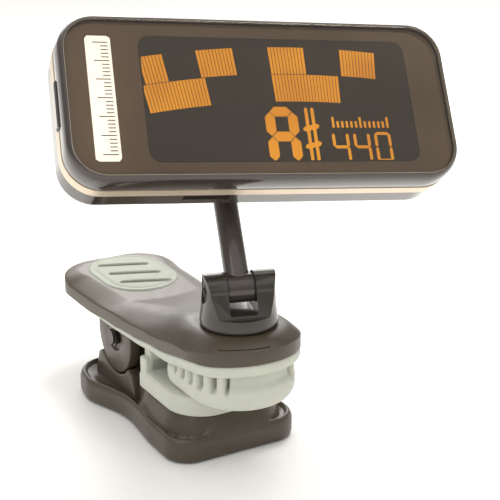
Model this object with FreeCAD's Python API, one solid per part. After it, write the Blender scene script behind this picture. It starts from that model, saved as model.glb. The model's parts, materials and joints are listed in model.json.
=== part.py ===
import FreeCAD, Part
import math
import os

from FreeCAD import Placement, Rotation, Vector

# Clip-on tuner: a spring clamp, a swivelling and tilting arm, and a display head on a ball joint.
# Millimetres. The clamp lies along Y with its nose towards -Y, and rests on Z = 0.
# The origin is the centre of the lower jaw's flat underside.

os.makedirs("parts", exist_ok=True)

# ---------------------------------------------------------------- driving dimensions
# Clamp
TURRET_Y = -20.0          # swivel axis of the arm, along the clamp
PIVOT_Y = 10.5            # jaw pivot, along the clamp
PIVOT_Z = 14.0
LEVER_TOP = 25.5          # height of the upper jaw's top at the swivel axis
NOSE_R = 10.8             # the upper jaw's nose is round about the swivel axis
LEVER_TAIL_Y = 37.5
LEVER_TAIL_HALF = 12.8
CROWN_FLAT_HALF = 7.4     # the lever's top is flat across to here, and its flanks fall from there
CROWN = [(-33.0, 25.5, 0.8), (-12.5, 25.5, 0.85), (9.0, 20.9, 0.42),        # (y, z, fall per mm across)
         (24.0, 20.9, 0.42), (39.0, 20.9, 0.05)]
PLATE_DEPTH = 2.4         # thickness of the upper jaw's top plate
CORE_DEPTH = 5.4          # from the top to the underside of the solid core, at the turret
CORE_LINE = [(-33.0, 20.1), (-12.5, 20.1), (9.0, 18.25), (39.0, 17.2)]      # its underside, as (y, z)
SKIRT_WIDTH = 1.35        # thickness of the skirt and the rubber rim, in from the edge
SKIRT_LINE = [(-32.0, 21.7), (-24.0, 21.0), (-8.0, 18.8), (0.0, 17.9),      # lower edge, as (y, z)
              (10.0, 17.2), (21.0, 16.3), (30.0, 16.6), (39.0, 17.4)]
RIM_LINE = [(-32.0, 19.7), (-24.0, 19.0), (-16.0, 17.8), (-8.0, 17.0),      # rubber rim's lower edge
            (0.0, 16.5), (10.5, 16.25), (19.0, 16.35)]
LOWER_HALF = 13.2         # half width of the lower jaw's squared nose
LOWER_FRONT_Y = -20.5
LOWER_TAIL_Y = 23.0
LOWER_BASE = 4.6          # depth of the lower jaw's base
PLATFORM_TOP = 8.0        # top of the raised platform under the lining
JAW_GAP = 0.35            # between the closed rubber faces
GRIP_TOP = 5.7            # grip pad, measured down from LEVER_TOP
GRIP_BOTTOM = 13.4
GRIP_R = 10.1
GRIP_NECK_R = 9.25        # the pad is narrower behind the rim
GRIP_SHELF_Z = 16.6
PIN_R = 1.5
RUN_FIT = 0.05            # radial clearance of a pin that turns
GAP = 0.3                 # between faces that pass each other

# Turret and arm
SWIVEL_REST = -16.5       # degrees about +Z
LEAN_REST = 40.0          # degrees the arm leans back from upright
HINGE_H = 6.4             # hinge axis above the lever's top
TURRET_R = 7.0
TURRET_BASE = 2.0         # height of the turret's round base
EAR_TOP_R = 3.0
FORK_HALF = 6.5           # half width over the two ears
FORK_GAP_HALF = 2.5
BARREL_R = 2.55
BARREL_HALF = 2.25
ARM_LEN = 31.0            # hinge axis to ball centre
ARM_R = 2.2
BALL_R = 3.5

# Display head, in its own frame: X right, Y backwards from the lens, Z up, origin at the lens
PAN_REST = 6.5
ROLL_REST = 0.5
TILT_REST = 3.5
BALL_X = -4.2
BALL_Y = 18.0
BALL_Z = 1.5
HEAD_W = 71.0
HEAD_H = 30.4
HEAD_CORNER = 6.6
LENS_W = 69.0
LENS_H = 28.4
LENS_CORNER = 5.6
LENS_T = 1.3
BEZEL_DEPTH = 4.9
TRIM_DEPTH = 2.4
SEAM = 0.15
HEAD_DEPTH = 14.2
WALL = 1.5
CAVITY_CORNER = 5.4       # round enough inside the front shell to meet its screw posts
BOARD_Y = 6.4             # front face of the circuit board
BOARD_T = 1.0
CELL_X = 18.5
CELL_R = 10.0
CELL_T = 3.2
DOOR_R = 11.6
DOOR_T = 1.3
DISPLAY_X = 3.0           # centre of the display, right of the lens's centre
SCREW_X = 30.1            # case screws, from the head's centre
SCREW_Z = 9.3
USB_X = -10.0
USB_Y = 8.75             # depth of the socket's centre, on the back of the board
BUTTON_LEN = 8.4
BUTTON_W = 1.9

X_AXIS = Vector(1, 0, 0)
Y_AXIS = Vector(0, 1, 0)
Z_AXIS = Vector(0, 0, 1)
BIG = 200.0               # larger than the whole object
CLEAR = 40.0              # taller and wider than the clamp


# ---------------------------------------------------------------- shape helpers
def box(x0, x1, y0, y1, z0, z1):
    """A box from its low and high corner."""
    return Part.makeBox(x1 - x0, y1 - y0, z1 - z0, Vector(x0, y0, z0))


def rod(radius, start, end):
    """A round bar from one point to another."""
    line = end - start
    return Part.makeCylinder(radius, line.Length, start, line)


def tube(outer, inner, start, end):
    """A round tube from one point to another."""
    return rod(outer, start, end).cut(rod(inner, start, end))


def fused(shapes):
    """One solid from several that meet."""
    whole = shapes[0]
    for shape in shapes[1:]:
        whole = whole.fuse(shape)
    return whole.removeSplitter()


def rounded_wire(corners):
    """A closed wire through (x, y, radius) corners, each rounded with its own radius."""
    edges = []
    starts = []
    ends = []
    count = len(corners)
    for index, (x, y, radius) in enumerate(corners):
        here = Vector(x, y, 0)
        before = Vector(corners[index - 1][0], corners[index - 1][1], 0)
        after = Vector(corners[(index + 1) % count][0], corners[(index + 1) % count][1], 0)
        to_before = (before - here).normalize()
        to_after = (after - here).normalize()
        half_angle = to_before.getAngle(to_after) / 2
        reach = radius / math.tan(half_angle)
        start = here + to_before * reach
        end = here + to_after * reach
        middle_way = (to_before + to_after).normalize()
        middle = here + middle_way * (radius / math.sin(half_angle) - radius)
        edges.append(Part.Arc(start, middle, end).toShape())
        starts.append(start)
        ends.append(end)
    closed = []
    for index in range(count):
        closed.append(edges[index])
        following = (index + 1) % count
        if (starts[following] - ends[index]).Length > 0.001:
            closed.append(Part.makeLine(ends[index], starts[following]))
    return Part.Wire(closed)


def plan_prism(corners, z0, z1):
    """A rounded outline in plan, raised from z0 to z1."""
    prism = Part.Face(rounded_wire(corners)).extrude(Z_AXIS * (z1 - z0))
    prism.translate(Z_AXIS * z0)
    return prism


def side_prism(points, half_width):
    """A (y, z) outline, drawn from the side and extruded across X."""
    wire = Part.makePolygon([Vector(-half_width, y, z) for y, z in points + points[:1]])
    return Part.Face(wire).extrude(X_AXIS * (2 * half_width))


def head_prism(width, height, corner, y0, y1):
    """A rounded rectangle facing -Y, from depth y0 to y1 in the head's frame."""
    half_w = width / 2
    half_h = height / 2
    corners = [(-half_w, -half_h, corner), (half_w, -half_h, corner),
               (half_w, half_h, corner), (-half_w, half_h, corner)]
    prism = Part.Face(rounded_wire(corners)).extrude(Z_AXIS * (y1 - y0))
    prism.rotate(Vector(0, 0, 0), X_AXIS, 90)
    prism.translate(Y_AXIS * y1)
    return prism


def edges_at(shape, axis, value, tolerance=0.01):
    """The edges that lie wholly at one coordinate of one axis."""
    found = []
    for edge in shape.Edges:
        limits = edge.BoundBox
        low = getattr(limits, axis + "Min")
        high = getattr(limits, axis + "Max")
        if abs(low - value) < tolerance and abs(high - value) < tolerance:
            found.append(edge)
    return found


def rounded_edges(shape, radius, axis, value):
    """The shape with its edges at one coordinate rounded."""
    return shape.makeFillet(radius, edges_at(shape, axis, value))


# ---------------------------------------------------------------- frames that the joints move
def turn(axis, degrees):
    """A rotation about an axis through the origin."""
    return Placement(Vector(0, 0, 0), Rotation(axis, degrees))


TURRET_FRAME = Placement(Vector(0, TURRET_Y, LEVER_TOP), Rotation(Z_AXIS, SWIVEL_REST))
HINGE_FRAME = TURRET_FRAME.multiply(Placement(Vector(0, 0, HINGE_H), Rotation()))
ARM_FRAME = HINGE_FRAME.multiply(turn(X_AXIS, -LEAN_REST))
BALL_FRAME = ARM_FRAME.multiply(Placement(Vector(0, 0, ARM_LEN), Rotation(Z_AXIS, PAN_REST)))
CUP_FRAME = BALL_FRAME.multiply(turn(Y_AXIS, ROLL_REST))
TILT_FRAME = CUP_FRAME.multiply(turn(X_AXIS, TILT_REST))
HEAD_FRAME = TILT_FRAME.multiply(Placement(Vector(-BALL_X, -BALL_Y, -BALL_Z), Rotation()))
WORLD = Placement()


def save(name, shape, frame=WORLD):
    """Writes one sub-part, moved from its own frame into the object's."""
    placed = shape.copy()
    placed.Placement = frame.multiply(placed.Placement)
    placed.exportStep("parts/" + name + ".step")


# ---------------------------------------------------------------- clamp: upper jaw
def lever_outline(inset=0.0):
    """The upper jaw in plan: a round nose that widens to a rounded tail."""
    nose = NOSE_R - inset
    tail = LEVER_TAIL_HALF - inset
    return [(-nose, TURRET_Y - nose, nose - 0.02), (nose, TURRET_Y - nose, nose - 0.02),
            (tail, LEVER_TAIL_Y - inset, 8.5 - inset), (-tail, LEVER_TAIL_Y - inset, 8.5 - inset)]


def lowered(line, depth):
    """A side line moved down."""
    return [(y, z - depth) for y, z in line]


def flat_face(points):
    """A flat face through corner points."""
    return Part.Face(Part.makePolygon(points + points[:1]))


def crown_block():
    """Everything under the lever's top: flat along the middle, with flanks that fall to the sides."""
    half = LEVER_TAIL_HALF + 1
    sections = []
    for y, z, fall in CROWN:
        edge = z - fall * (half - CROWN_FLAT_HALF)
        points = [Vector(-half, y, 0), Vector(-half, y, edge), Vector(-CROWN_FLAT_HALF, y, z),
                  Vector(CROWN_FLAT_HALF, y, z), Vector(half, y, edge), Vector(half, y, 0)]
        sections.append(points)
    faces = [flat_face(sections[0]), flat_face(sections[-1])]
    for near, far in zip(sections, sections[1:]):
        for index in range(len(near)):
            following = (index + 1) % len(near)
            faces.append(flat_face([near[index], near[following], far[following]]))
            faces.append(flat_face([near[index], far[following], far[index]]))
    block = Part.makeSolid(Part.makeShell(faces))
    block.fixTolerance(0.0001)
    return block


TOP_LINE = [(y, z) for y, z, fall in CROWN]


def lever_layer(upper, lower, inset=0.0):
    """The part of the lever between two side lines, drawn in from its outline."""
    layer = side_prism(upper + lower[::-1], CLEAR)
    return plan_prism(lever_outline(inset), 0.0, CLEAR).common(layer)


def lever_band(upper, lower):
    """A band along the lever's edge between two side lines."""
    return lever_layer(upper, lower).cut(plan_prism(lever_outline(SKIRT_WIDTH), 0.0, CLEAR))


EAR_IN = 8.4              # the upper jaw's ears, inner and outer faces
EAR_OUT = 10.6
EAR_R = 7.2
EAR_ROOT = 18.0           # the ears are joined to the skirt above this height
THUMB_Y0 = 12.5           # thumb pad along the lever
THUMB_Y1 = 35.5
THUMB_HALF = 8.3
THUMB_SINK = 0.9          # depth of its pocket, and its height above the lever
THUMB_RISE = 0.45
THUMB_GROOVES = (17.7, 23.2, 28.8)
GROOVE_SLANT = 22.0       # degrees
SCREW_R = 1.25


def thumb_outline(inset=0.0):
    """The thumb pad in plan, with round ends."""
    half = THUMB_HALF - inset
    return [(-half, THUMB_Y0 + inset, half - 0.02), (half, THUMB_Y0 + inset, half - 0.02),
            (half, THUMB_Y1 - inset, half - 0.02), (-half, THUMB_Y1 - inset, half - 0.02)]


def pivot_disc(radius, x0, x1):
    """A disc about the jaw pivot."""
    return rod(radius, Vector(x0, PIVOT_Y, PIVOT_Z), Vector(x1, PIVOT_Y, PIVOT_Z))


def upper_jaw():
    """The upper lever: a plate with a skirt, two ears for the pivot pin and a pocket for the thumb pad."""
    inside_plate = lowered(TOP_LINE, PLATE_DEPTH - 0.1)
    solids = [lever_layer(TOP_LINE, lowered(TOP_LINE, PLATE_DEPTH)),
              lever_layer(inside_plate, CORE_LINE, SKIRT_WIDTH),
              lever_band(inside_plate, SKIRT_LINE)]
    ear_y0 = PIVOT_Y - EAR_R
    ear_y1 = PIVOT_Y + EAR_R
    for side in (-1, 1):
        low, high = sorted((side * EAR_IN, side * EAR_OUT))
        solids.append(pivot_disc(EAR_R, low, high))
        solids.append(box(low, high, ear_y0, ear_y1, PIVOT_Z, LEVER_TOP))
        low, high = sorted((side * EAR_IN, side * (EAR_OUT + 0.5)))
        solids.append(box(low, high, ear_y0, ear_y1, EAR_ROOT, LEVER_TOP))
    jaw = fused(solids).common(crown_block())
    jaw = jaw.cut(pivot_disc(PIN_R + RUN_FIT, -CLEAR, CLEAR))
    pocket = lever_layer(lowered(TOP_LINE, -2.0), lowered(TOP_LINE, THUMB_SINK))
    jaw = jaw.cut(pocket.common(plan_prism(thumb_outline(), 0.0, CLEAR)))
    return jaw.cut(rod(SCREW_R + 0.08, Vector(0, TURRET_Y, 0), Vector(0, TURRET_Y, CLEAR)))


def upper_jaw_rim():
    """The soft rim moulded under the lever's skirt, thinning out towards the tail."""
    rim = lever_band(SKIRT_LINE[:5] + [RIM_LINE[-1]], RIM_LINE)
    for side in (-1, 1):
        low, high = sorted((side * (EAR_IN - RUN_FIT), side * (EAR_OUT + RUN_FIT)))
        rim = rim.cut(box(low, high, PIVOT_Y - EAR_R - RUN_FIT, PIVOT_Y + EAR_R + RUN_FIT, 0, CLEAR))
    return rim


def thumb_pad():
    """The ribbed pad that the thumb presses, set into the lever's top."""
    pad = lever_layer(lowered(TOP_LINE, -THUMB_RISE), lowered(TOP_LINE, THUMB_SINK))
    pad = pad.common(plan_prism(thumb_outline(RUN_FIT), 0, CLEAR))
    half = Rotation(Z_AXIS, -GROOVE_SLANT).multVec(X_AXIS * 5.3)
    for y in THUMB_GROOVES:
        middle = Vector(0, y, CROWN[-1][1] + THUMB_RISE + 0.35)
        pad = pad.cut(rod(0.9, middle - half, middle + half))
    return pad


def grip_outline(radius):
    """The grip pad in plan: round under the nose, squared at the back."""
    back = TURRET_Y + radius
    return [(-radius, TURRET_Y - radius, radius - 0.02), (radius, TURRET_Y - radius, radius - 0.02),
            (radius, back, 2.0), (-radius, back, 2.0)]


def grip_pad():
    """The soft block under the nose that presses on the instrument, with ribs along its sides."""
    top = LEVER_TOP - GRIP_TOP
    bottom = LEVER_TOP - GRIP_BOTTOM
    block = rounded_edges(plan_prism(grip_outline(GRIP_R), bottom, GRIP_SHELF_Z), 1.6, "Z", bottom)
    pad = block.fuse(plan_prism(grip_outline(GRIP_NECK_R), GRIP_SHELF_Z - 0.1, top))
    notch_r = 0.45
    notch_step = 2.3
    for side in (-1, 1):
        for index in range(5):
            along = 7.4 - notch_step * index
            across = GRIP_R
            if along < 0:
                across = math.sqrt(GRIP_R ** 2 - along ** 2)
            foot = Vector(side * across, TURRET_Y + along, bottom + 3.0)
            pad = pad.cut(rod(notch_r, foot, foot + Z_AXIS * CLEAR))
    bolt_room = rod(3.6, Vector(0, TURRET_Y, top - 2.2), Vector(0, TURRET_Y, top + 1))
    return pad.cut(bolt_room)


def upper_throat_lining():
    """The soft strip under the lever, behind the grip pad."""
    thickness = 1.7
    upper = lowered(CORE_LINE, 0.02)
    lower = lowered(CORE_LINE, thickness)
    half = 8.2
    outline = [(-half, -9.0, 0.8), (half, -9.0, 0.8), (half, -4.2, 0.8), (-half, -4.2, 0.8)]
    return lever_layer(upper, lower).common(plan_prism(outline, 0.0, CLEAR))


# ---------------------------------------------------------------- clamp: lower jaw
INNER_EAR_IN = 5.6
INNER_EAR_OUT = 8.0
INNER_EAR_R = 3.8
LINING_FRONT_Y = -19.6
WALL_Y0 = -3.4
WALL_Y1 = -0.8


def lower_outline(inset=0.0):
    """The lower jaw in plan: a squared nose, a slight waist and a flared tail."""
    half = LOWER_HALF - inset
    waist = LOWER_HALF - 1.2 - inset
    tail = LOWER_HALF + 2.2 - inset
    return [(-half, LOWER_FRONT_Y + inset, 5.0), (half, LOWER_FRONT_Y + inset, 5.0),
            (half, -9.0, 14.0), (waist, 3.0, 20.0),
            (tail, 13.5, 7.0), (tail - 1.5, LOWER_TAIL_Y - inset, 6.5),
            (-tail + 1.5, LOWER_TAIL_Y - inset, 6.5), (-tail, 13.5, 7.0),
            (-waist, 3.0, 20.0), (-half, -9.0, 14.0)]


def platform_outline(inset=0.0):
    """The raised platform: a round nose and straight sides."""
    half = 11.2 - inset
    front = LINING_FRONT_Y - 0.3 + inset
    return [(-half, front, 7.5), (half, front, 7.5), (half, 2.0 - inset, 1.5), (-half, 2.0 - inset, 1.5)]


def lower_jaw():
    """The lower lever: base, platform for the lining, and two ears that hold the pivot pin."""
    base = plan_prism(lower_outline(), 0.0, LOWER_BASE)
    base = rounded_edges(base, 1.1, "Z", LOWER_BASE)
    base = rounded_edges(base, 0.6, "Z", 0.0)
    solids = [base, plan_prism(platform_outline(), LOWER_BASE - 1, PLATFORM_TOP)]
    cheek_half = 9.6
    solids.append(box(-cheek_half, cheek_half, -0.7, 1.9, LOWER_BASE - 1, PLATFORM_TOP + 5.5))
    for side in (-1, 1):
        low, high = sorted((side * INNER_EAR_IN, side * INNER_EAR_OUT))
        cheek = [(PIVOT_Y - INNER_EAR_R - 2, LOWER_BASE - 1), (PIVOT_Y + INNER_EAR_R + 2, LOWER_BASE - 1),
                 (PIVOT_Y + INNER_EAR_R, PIVOT_Z), (PIVOT_Y - INNER_EAR_R, PIVOT_Z)]
        solids.append(pivot_disc(INNER_EAR_R, low, high))
        solids.append(side_prism(cheek, BIG).common(box(low, high, -BIG, BIG, 0, BIG)))
    jaw = fused(solids)
    for side in (-1, 1):
        low, high = sorted((side * (EAR_IN - GAP), side * 14.5))
        jaw = jaw.cut(pivot_disc(EAR_R + GAP, low, high))
    return jaw.cut(pivot_disc(PIN_R, -20, 20))


def lower_jaw_lining():
    """The soft lining: a flat pad on the platform that turns up into the throat's back wall."""
    top = LEVER_TOP - GRIP_BOTTOM - JAW_GAP
    half = 10.9
    floor_pad = plan_prism([(-half, LINING_FRONT_Y, 7.2), (half, LINING_FRONT_Y, 7.2),
                            (half, WALL_Y1, 0.6), (-half, WALL_Y1, 0.6)], PLATFORM_TOP, top)
    wall = box(-9.6, 9.6, WALL_Y0, WALL_Y1, PLATFORM_TOP, 17.3)
    return fused([floor_pad, wall])


def pivot_pin():
    """The steel pin through all four ears, with a low head at one end."""
    shaft = pivot_disc(PIN_R, -EAR_OUT - 0.9, EAR_OUT + 0.4)
    head = pivot_disc(2.0, EAR_OUT + 0.2, EAR_OUT + 1.1)
    pin = shaft.fuse(head)
    groove = pivot_disc(PIN_R + 1, -EAR_OUT - 0.65, -EAR_OUT - 0.2)
    groove = groove.cut(pivot_disc(PIN_R - 0.35, -EAR_OUT - 0.65, -EAR_OUT - 0.2))
    return pin.cut(groove).removeSplitter()


def pin_clip():
    """The spring washer that snaps into the pin's groove."""
    ring = pivot_disc(2.05, -EAR_OUT - 0.6, -EAR_OUT - 0.25)
    ring = ring.cut(pivot_disc(PIN_R - 0.3, -20, 20))
    mouth = box(-20, 0, PIVOT_Y - 0.9, PIVOT_Y + 0.9, PIVOT_Z - 5, PIVOT_Z)
    return ring.cut(mouth)


SPRING_R = 3.3
SPRING_WIRE = 0.6
SPRING_TURNS = 5.5        # half a turn over, so one leg starts below the pin and one above it


def torsion_spring():
    """The coil round the pin, with one leg on each jaw."""
    pitch = 1.55
    length = pitch * SPRING_TURNS
    helix = Part.makeHelix(pitch, length, SPRING_R)
    profile = Part.Wire(Part.makeCircle(SPRING_WIRE, Vector(SPRING_R, 0, 0), Vector(0, 1, 0)))
    coil = Part.Wire(helix).makePipeShell([profile], True, True)
    coil.rotate(Vector(0, 0, 0), Y_AXIS, 90)
    coil.translate(Vector(-length / 2, PIVOT_Y, PIVOT_Z))
    leg_r = SPRING_WIRE + 0.08
    low_leg = rod(leg_r, Vector(-length / 2, PIVOT_Y - 0.5, PIVOT_Z - SPRING_R),
                  Vector(-length / 2, PIVOT_Y + 8.0, LOWER_BASE + leg_r + 0.1))
    high_leg = rod(leg_r, Vector(length / 2, PIVOT_Y - 0.5, PIVOT_Z + SPRING_R),
                   Vector(length / 2, PIVOT_Y + 8.0, PIVOT_Z + SPRING_R - 0.8))
    return fused([coil, low_leg, high_leg])


def build_clamp():
    """The clamp's ten sub-parts."""
    save("lower_jaw", lower_jaw())
    save("lower_jaw_lining", lower_jaw_lining())
    save("pivot_pin", pivot_pin())
    save("pin_clip", pin_clip())
    save("torsion_spring", torsion_spring())
    save("upper_jaw", upper_jaw())
    save("upper_jaw_rim", upper_jaw_rim())
    save("thumb_pad", thumb_pad())
    save("grip_pad", grip_pad())
    save("upper_throat_lining", upper_throat_lining())


# ---------------------------------------------------------------- turret, in the turret's frame
def turret_yoke():
    """The round base with two ears, spread towards the top, that carry the arm's hinge."""
    base = Part.makeCylinder(TURRET_R, TURRET_BASE, Vector(0, 0, 0.05))
    base = rounded_edges(base, 0.7, "Z", TURRET_BASE + 0.05)
    top = HINGE_H + EAR_TOP_R
    foot_half = FORK_HALF - 1.0
    front = Part.makePolygon([Vector(-foot_half, -8, 0), Vector(foot_half, -8, 0), Vector(FORK_HALF, -8, top),
                              Vector(-FORK_HALF, -8, top), Vector(-foot_half, -8, 0)])
    ears = Part.Face(front).extrude(Y_AXIS * 16)
    barrel = rod(EAR_TOP_R, Vector(-FORK_HALF, 0, HINGE_H), Vector(FORK_HALF, 0, HINGE_H))
    web = side_prism([(-5.2, 1.0), (5.2, 1.0), (EAR_TOP_R, HINGE_H), (-EAR_TOP_R, HINGE_H)], BIG)
    ears = ears.common(barrel.fuse(web))
    yoke = fused([base, ears])
    yoke = yoke.cut(box(-FORK_GAP_HALF, FORK_GAP_HALF, -8, 8, TURRET_BASE + 0.4, 20))
    barrel_room = rod(BARREL_R + 0.4, Vector(-FORK_GAP_HALF, 0, HINGE_H), Vector(FORK_GAP_HALF, 0, HINGE_H))
    yoke = yoke.cut(barrel_room)
    yoke = yoke.cut(rod(SCREW_R + RUN_FIT, Vector(-10, 0, HINGE_H), Vector(10, 0, HINGE_H)))
    head_seat = rod(2.3, Vector(-10, 0, HINGE_H), Vector(-FORK_HALF + 1.6, 0, HINGE_H))
    nut_seat = rod(2.45, Vector(FORK_HALF - 1.6, 0, HINGE_H), Vector(10, 0, HINGE_H))
    return yoke.cut(head_seat).cut(nut_seat).cut(Part.makeCylinder(SCREW_R, 2.0, Vector(0, 0, 0)))


def hinge_screw():
    """The cross-head screw that is the hinge's pin."""
    head = rod(2.15, Vector(-FORK_HALF + 0.5, 0, HINGE_H), Vector(-FORK_HALF + 1.6, 0, HINGE_H))
    shank = rod(SCREW_R, Vector(-FORK_HALF + 1.5, 0, HINGE_H), Vector(FORK_HALF - 0.5, 0, HINGE_H))
    screw = head.fuse(shank)
    for depth, height in ((0.3, 1.3), (1.3, 0.3)):
        slot = box(-FORK_HALF, -FORK_HALF + 1.1, -depth, depth, HINGE_H - height, HINGE_H + height)
        screw = screw.cut(slot)
    return screw.removeSplitter()


def hexagon(across_flats, x0, x1, z):
    """A hexagonal bar along X at height z."""
    radius = across_flats / math.sqrt(3)
    angles = [math.radians(60 * step) for step in range(7)]
    corners = [Vector(x0, radius * math.cos(angle), z + radius * math.sin(angle)) for angle in angles]
    return Part.Face(Part.makePolygon(corners)).extrude(X_AXIS * (x1 - x0))


def hinge_nut():
    """The hexagonal nut on the hinge screw's far end."""
    nut = hexagon(4.0, FORK_HALF - 1.58, FORK_HALF - 0.6, HINGE_H)
    return nut.cut(rod(SCREW_R, Vector(0, 0, HINGE_H), Vector(10, 0, HINGE_H)))


def hinge_washers():
    """The two friction washers between the barrel and the ears."""
    rings = []
    for side in (-1, 1):
        low, high = sorted((side * (BARREL_HALF + 0.03), side * (FORK_GAP_HALF - 0.03)))
        rings.append(tube(2.4, SCREW_R + RUN_FIT, Vector(low, 0, HINGE_H), Vector(high, 0, HINGE_H)))
    return Part.makeCompound(rings)


def swivel_screw():
    """The shoulder screw that holds the turret on the lever from below."""
    under = -CORE_DEPTH
    shank = Part.makeCylinder(SCREW_R, 1.9 - under, Vector(0, 0, under))
    head = Part.makeCylinder(2.6, 1.2, Vector(0, 0, under - 1.6))
    screw = head.fuse(shank).fuse(Part.makeCylinder(SCREW_R, 0.5, Vector(0, 0, under - 0.45)))
    for along, across in ((1.6, 0.3), (0.3, 1.6)):
        screw = screw.cut(box(-along, along, -across, across, under - 1.6, under - 1.0))
    return screw.removeSplitter()


def swivel_washer():
    """The wave washer that gives the swivel its friction, drawn flat."""
    under = -CORE_DEPTH
    disc = Part.makeCylinder(3.2, 0.28, Vector(0, 0, under - 0.34))
    return disc.cut(Part.makeCylinder(SCREW_R + 0.1, 2, Vector(0, 0, under - 1)))


def build_turret():
    """The turret and its fixings."""
    save("turret_yoke", turret_yoke(), TURRET_FRAME)
    save("hinge_screw", hinge_screw(), TURRET_FRAME)
    save("hinge_nut", hinge_nut(), TURRET_FRAME)
    save("hinge_washers", hinge_washers(), TURRET_FRAME)
    save("swivel_screw", swivel_screw(), TURRET_FRAME)
    save("swivel_washer", swivel_washer(), TURRET_FRAME)


# ---------------------------------------------------------------- arm and ball joint
ARM_END = 6.8             # from the ball's centre back to the end of the arm
NECK_R = 1.45
STUD_R = 1.1
CUP_OUT = 4.45
BOSS_R = 6.2


def swivel_arm():
    """The round arm with its hinge barrel, bored at the top for the ball stud."""
    barrel = rod(BARREL_R, Vector(-BARREL_HALF, 0, 0), Vector(BARREL_HALF, 0, 0))
    top = ARM_LEN - ARM_END
    straight = Part.makeCylinder(ARM_R, top, Vector(0, 0, 0))
    straight = rounded_edges(straight, 0.5, "Z", top)
    arm = barrel.fuse(straight)
    arm = arm.cut(rod(SCREW_R + RUN_FIT, Vector(-10, 0, 0), Vector(10, 0, 0)))
    return arm.cut(Part.makeCylinder(STUD_R + RUN_FIT, 8, Vector(0, 0, top - 6.2))).removeSplitter()


def ball_stud():
    """The steel ball on its neck, in the ball's frame with the arm below it."""
    ball = Part.makeSphere(BALL_R)
    neck = rod(NECK_R, Vector(0, 0, -ARM_END + 0.1), Vector(0, 0, -2))
    shank = rod(STUD_R, Vector(0, 0, -ARM_END - 6.0), Vector(0, 0, -ARM_END + 0.2))
    return fused([ball, neck, shank])


def friction_cup():
    """The nylon cup that grips the ball, open below for the neck."""
    cup = Part.makeSphere(CUP_OUT).cut(Part.makeSphere(BALL_R + RUN_FIT))
    opening = Part.makeCone(1.0, 4.4, 6.0, Vector(0, 0, 0), Vector(0, 0, -1))
    return cup.cut(opening)


# ---------------------------------------------------------------- display head, in the head's frame
BALL_POINT = Vector(BALL_X, BALL_Y, BALL_Z)
POST_R = 1.9              # screw posts in both shells
BOSS_LUG_X = 7.95         # socket screws, either side of the ball


def screw_places():
    """The four case screws, as (x, z)."""
    return [(side * SCREW_X, level * SCREW_Z) for side in (-1, 1) for level in (-1, 1)]


def lens_window():
    """The clear window over the display."""
    lens = head_prism(LENS_W, LENS_H, LENS_CORNER, 0.0, LENS_T)
    return rounded_edges(lens, 0.25, "Y", 0.0)


def button_slot(margin):
    """The room that the side button takes in the case's left wall."""
    y = BEZEL_DEPTH + SEAM / 2
    half_w = BUTTON_W / 2 + margin
    half_l = BUTTON_LEN / 2 + margin
    return box(-HEAD_W / 2 - 1, -HEAD_W / 2 + WALL + 2.2, y - half_w, y + half_w, -half_l, half_l)


def front_bezel():
    """The front shell: the rim round the lens and the deep glossy side wall."""
    shell = head_prism(HEAD_W, HEAD_H, HEAD_CORNER, 0.05, BEZEL_DEPTH)
    shell = rounded_edges(shell, 0.8, "Y", 0.05)
    shell = shell.cut(head_prism(LENS_W + 0.3, LENS_H + 0.3, LENS_CORNER + 0.1, -1, LENS_T + 0.05))
    shell = shell.cut(head_prism(HEAD_W - 6, HEAD_H - 6, CAVITY_CORNER, -1, HEAD_DEPTH))
    for x, z in screw_places():
        post = rod(POST_R, Vector(x, LENS_T + 1.6, z), Vector(x, BOARD_Y - 0.03, z))
        shell = shell.fuse(post).cut(rod(0.7, Vector(x, LENS_T + 2.4, z), Vector(x, BOARD_Y, z)))
    return shell.cut(button_slot(0.15)).removeSplitter()


def trim_band():
    """The satin band between the two shells."""
    y0 = BEZEL_DEPTH + SEAM
    band = head_prism(HEAD_W + 0.1, HEAD_H + 0.1, HEAD_CORNER, y0, y0 + TRIM_DEPTH)
    band = band.cut(head_prism(HEAD_W - 2.4, HEAD_H - 2.4, HEAD_CORNER - 1.2, -1, HEAD_DEPTH))
    return band.cut(button_slot(0.15))


def boss_shape(radius):
    """The socket housing round the ball: a dome that stands on the back of the case."""
    dome = Part.makeSphere(radius, BALL_POINT)
    stem = rod(radius, Vector(BALL_X, HEAD_DEPTH - 1.6, BALL_Z), BALL_POINT)
    return dome.fuse(stem)


def neck_slot():
    """The slot that lets the neck swing from straight down to straight back."""
    half = 2.5
    reach = 9.0
    low = Vector(BALL_X - half, BALL_Y, BALL_Z)
    quarter = rod(reach, low, low + X_AXIS * (2 * half))
    quarter = quarter.common(box(BALL_X - half, BALL_X + half, BALL_Y - half, BALL_Y + reach,
                                 BALL_Z - reach, BALL_Z + half))
    return quarter.fuse(rod(half, BALL_POINT, BALL_POINT - Z_AXIS * reach)).fuse(
        rod(half, BALL_POINT, BALL_POINT + Y_AXIS * reach))


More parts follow.
